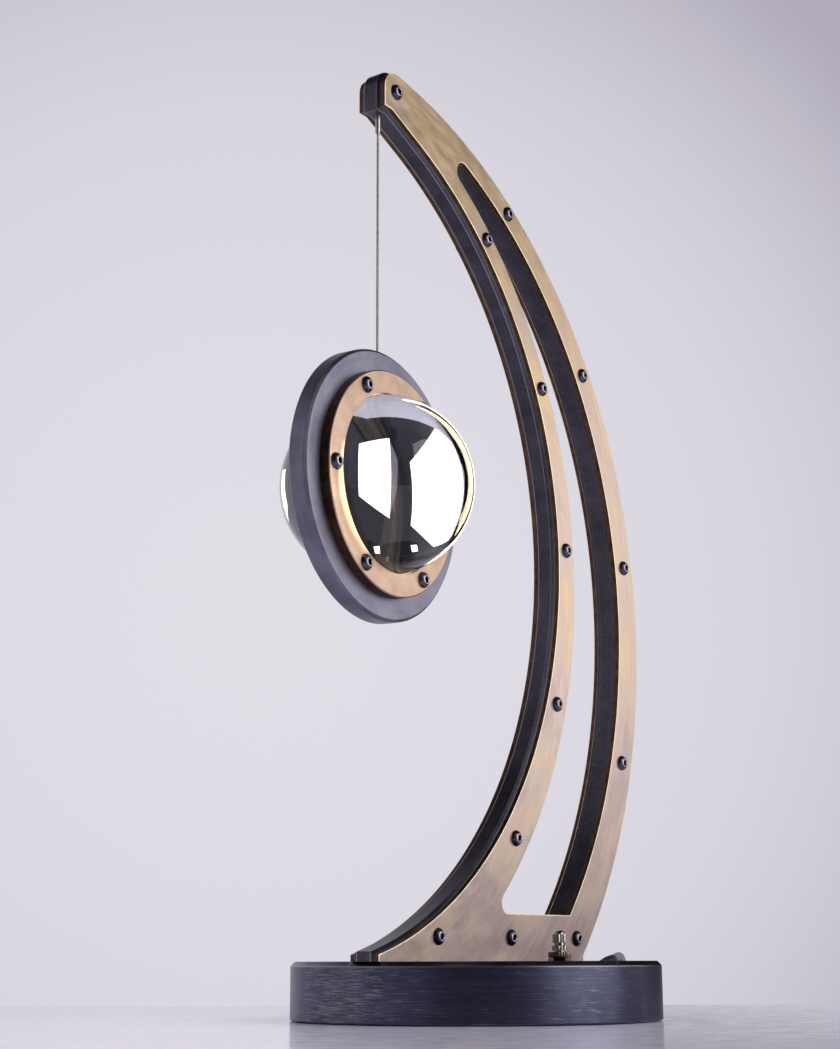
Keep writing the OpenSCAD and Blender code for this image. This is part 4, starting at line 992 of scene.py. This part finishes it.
addPiece("discHousing", housingShape(pendant), finish["housing_steel"], "pendant",
         ["disc_housing"], atPendant, 28)
addPiece("mirrorDisc", lathe(rounded([(0, -1.15), (pendant["mirror"], -1.15), (pendant["mirror"], 1.15),
                                      (0, 1.15)], 0.15), 160), finish["reflector_mirror"], "pendant",
         ["reflector"], atPendant, 10, False)
domes = []
for flip, side in ((Matrix.Identity(4), "front"), (turnRound, "rear")):
    ring = addPiece(side + "Ring", ringShape(pendant), finish["bronze_ring"], "pendant",
                    [side + "_ring"], atPendant @ flip, 28)
    secondFinish(ring, darkEdge, lambda normal, centre: abs(normal.z) < 0.3)
    dome = addPiece(side + "Dome", domeShape(pendant), finish["clear_glass"], "pendant",
                    [side + "_dome"], atPendant @ flip, 15, False)
    # The flange and rim faces get the painted glow.
    secondFinish(dome, paintedRimGlow, lambda normal, centre: centre.z < (pendant["flange"][2] + 0.1) * mm and normal.z > -0.9)
    dome.visible_shadow = False   # real glass lets the softboxes' light through to the ring
    domes.append(dome)
    spaces = [flip @ Matrix.Rotation(2 * math.pi * i / pendant["screws"], 4, "Z")
              @ Matrix.Translation((pendant["ringScrews"], 0, pendant["ring"][2])) for i in range(pendant["screws"])]
    heads = addPiece(side + "RingScrews", scattered(screwShape(screw, 10), spaces), finish["black_screw"], "pendant",
                     [side + "_ring_screws"], atPendant)
    top = (pendant["ring"][2] + screw["high"] - 0.1) * mm
    secondFinish(heads, rubbedSteel, lambda normal, centre: abs(normal.z) > 0.8 and abs(centre.z) > top)
strip, blocks, gels = diodeRing(pendant)
diodes = addPiece("diodeRing", join([strip, blocks]), finish["led_strip"], "pendant", ["led_ring"],
                  atPendant)
gelCaps = addPiece("gelCaps", gels, glow, "pendant", (), atPendant)
print("pendant made")

# CAD nodes whose shape is right keep it and get their finish here.
kept = {
    "base_pad": "felt", "base_cover": "plain_steel", "cover_screws": "plain_steel", "arm_bolts": "black_screw",
    "arm_lead": "lead_sheath", "rope_ball": "stainless", "rope_stop": "stainless", "front_gasket": "rubber",
    "rear_gasket": "rubber", "pendant_lead": "lead_sheath", "dimmer_body": "plain_steel",
    "dimmer_bush": "nickel_brass", "dimmer_shaft": "nickel_brass", "led_driver": "white_plastic",
    "driver_clamps": "plain_steel", "terminal_block": "white_plastic", "inner_leads": "lead_sheath",
    "strain_relief": "rubber", "plug_pins": "nickel_brass",
}
for name, slot in kept.items():
    nodes[name].data.materials[0] = finish[slot]
    for place in nodes[name].material_slots:
        place.material = finish[slot]
print("kept nodes finished")

# Stage and light, as the domes mirror them: a pale table that ends behind the lamp, a pale backdrop, a dark room,
# an upright softbox far to the right of the camera and a large eight-sided one between it and the camera.
studio = {
    "table": (-1.2, 0.355, -0.95, 0.73),   # m from the lamp along the view, and across it
    "glow": (49.4, 10.5),      # bearing and height of the backdrop's brightest spot, in degrees
    "backdrop": ((0, "#e1dfe6"), (1, "#c9c5d0"), (0.15, "#dddae3"), (0.25, "#d8d5de"), (0.3, "#d0cdd7"),
                 (0.333, "#c9c5d0"), (0.4, "#b0aab9")),   # share of 60 degrees away from that spot, and its colour
    "room": ((-180, "#15141a"), (180, "#15141a"), (-105, "#15141a"), (-64, "#c0bdc7"), (-10, "#cecbd5"),
             (20, "#d2cfd9"), (45, "#e4e1ea"), (66, "#dbd8e2"), (78, "#5a5762"), (95, "#2a282f")),
    "ceiling": "#1f1e24",
    "fill": 0.75,              # level of the light from all round on what is matt
    "lamp": (-0.09, -0.04, 0.3),   # where the bearings and heights below are taken, in degrees
    "softboxes": (             # name, distance in m, bearing it faces, level, tint, bearings and heights of corners
        ("key", 1.45, 160, 2.8, "#ffffff", ((132.9, 3.9), (136.5, 30.4), (168.6, 44.2), (193, 38), (196, 20),
                                            (186, -6), (171, -25), (156, -22.2))),
        ("keyOnBoard", 1.44, 160, 7.0, "#ffffff", ((133, 3.9), (136.5, 30.4), (168.6, 44.2), (193, 38), (196, 20))),
        ("side", 0.89, 180, 2.4, "#ffffff", ((112, -4.1), (112.1, 17.8), (124.9, 27), (124.5, -6.7))),
        ("sideWall", 0.89, 180, 0.3, "#cfc6de", ((124.5, -5.6), (124.9, 25.8), (127.1, 15.5), (127.4, 3.2))),
        ("rim", 1.2, 85, 6.0, "#fff0cf", ((62, -10), (101, -10), (102, 38), (80, 55), (62, 50))),
        ("ceilingNear", 1.3, 140, 3.0, "#fffbe6", ((117.4, 42.2), (120.8, 41.8), (121.7, 47.3), (118.5, 47.4))),
        ("ceilingFar", 1.5, 140, 3.0, "#fffbe6", ((141.8, 42.2), (146.9, 42.1), (152.6, 47), (147, 47.3))),
    ),
}


def stageMesh(name, verts, faces, material):
    mesh = bpy.data.meshes.new(name)
    mesh.from_pydata([tuple(v) for v in verts], [], faces)
    mesh.materials.append(material)
    thing = bpy.data.objects.new(name, mesh)
    bpy.context.scene.collection.objects.link(thing)
    return thing


def addTable(s):
    made, tree, shader = newMaterial("lacqueredBoard", ior=1.5)   # pale lacquer, glossy at a low angle, a little dusty
    dust = speckle(tree, 6, 4)
    tone = put(tree, "ValToRGB", {0: dust}, [(0.35, "#ccc8da"), (0.75, "#dad7e5")]).outputs[0]
    tree.links.new(tone, shader.inputs["Base Color"])
    setRough(tree, shader, speckle(tree, 18, 4), 0.12, 0.19)
    near, far, left, right = s["table"]
    turn = Matrix.Rotation(math.radians(-camera["yaw"]), 4, "Z")   # its length lies along the view
    corners = [(left, near), (right, near), (right, far), (left, far)]
    loops = [[turn @ Vector((x, y, z)) for x, y in corners] for z in (-0.018, 0)]
    verts, faces = skin(loops)
    return stageMesh("table", verts, faces, made)


def addWorld(s):
    world = bpy.data.worlds.new("studio")
    world.use_nodes = True
    bpy.context.scene.world = world
    tree = world.node_tree
    tree.nodes.clear()
    rays = put(tree, "LightPath").outputs
    place = put(tree, "TexCoord").outputs["Generated"]
    bearing, height = (math.radians(a) for a in s["glow"])
    spot = (math.sin(bearing) * math.cos(height), math.cos(bearing) * math.cos(height), math.sin(height))
    facing = put(tree, "VectorMath", {0: place, 1: spot}, operation="DOT_PRODUCT").outputs["Value"]
    away = put(tree, "Math", {0: facing}, operation="ARCCOSINE").outputs[0]
    away = put(tree, "MapRange", {0: away, 1: 0, 2: math.radians(60)}).outputs[0]
    backdrop = put(tree, "ValToRGB", {0: away}, s["backdrop"]).outputs[0]
    parts = put(tree, "SeparateXYZ", {0: place}).outputs
    turned = put(tree, "Math", {0: parts["X"], 1: parts["Y"]}, operation="ARCTAN2").outputs[0]
    turned = put(tree, "MapRange", {0: turned, 1: -math.pi, 2: math.pi}).outputs[0]
    room = put(tree, "ValToRGB", {0: turned}, [((a + 180) / 360, tone) for a, tone in s["room"]]).outputs[0]
    above = put(tree, "MapRange", {0: parts["Z"], 1: 0.6, 2: 0.82}).outputs[0]
    room = put(tree, "Mix", {0: above, 6: room, 7: s["ceiling"]}, data_type="RGBA").outputs[2]
    seen = put(tree, "Mix", {0: rays["Is Camera Ray"], 6: room, 7: backdrop}, data_type="RGBA").outputs[2]
    mirrored = put(tree, "Math", {0: rays["Is Glossy Ray"], 1: rays["Is Transmission Ray"]}, operation="MAXIMUM")
    direct = put(tree, "Math", {0: mirrored.outputs[0], 1: rays["Is Camera Ray"]}, operation="MAXIMUM").outputs[0]
    plain = put(tree, "Background", {0: "#e6e5ea", 1: s["fill"]}).outputs[0]
    shown = put(tree, "Background", {0: seen, 1: 1.0}).outputs[0]
    both = put(tree, "MixShader", {0: direct, 1: plain, 2: shown}).outputs[0]
    put(tree, "OutputWorld", {0: both})
    world.cycles.sampling_method = "NONE"   # so that a metal's own rays decide which background it sees


# They light the lamp and show in metal and glass, but not to the camera. The table gets the key light without its
# mirror image, which would be white from behind, and only the domes get the rim light.
def addSoftboxes(s, board):
    for name, away, faces, level, tint, corners in s["softboxes"]:
        made = bpy.data.materials.new(name)
        made.use_nodes = True
        made.node_tree.nodes.clear()
        light = put(made.node_tree, "Emission", {0: tint, 1: level}).outputs[0]
        put(made.node_tree, "OutputMaterial", {0: light})
        verts = []
        for bearing, height in ((math.radians(b), math.radians(h)) for b, h in corners):
            far = away / math.cos(bearing - math.radians(faces))   # the box stands upright
            verts.append(Vector(s["lamp"]) + far * Vector((math.sin(bearing), math.cos(bearing), math.tan(height))))
        box = stageMesh(name, verts, [tuple(range(len(verts)))], made)
        box.visible_camera = False
        box.visible_glossy = box.visible_transmission = name != "keyOnBoard"
        box.visible_shadow = name not in ("keyOnBoard", "rim")
        group, state = {"rim": (domes, "INCLUDE"), "keyOnBoard": ([board], "INCLUDE")}.get(name, ([board], "EXCLUDE"))
        lit = bpy.data.collections.new(name + "Lights")
        for thing in group:
            lit.objects.link(thing)
            lit.collection_objects[-1].light_linking.link_state = state
        box.light_linking.receiver_collection = lit


addWorld(studio)
addSoftboxes(studio, addTable(studio))
bpy.context.scene.view_settings.view_transform = "Standard"
print("studio made")
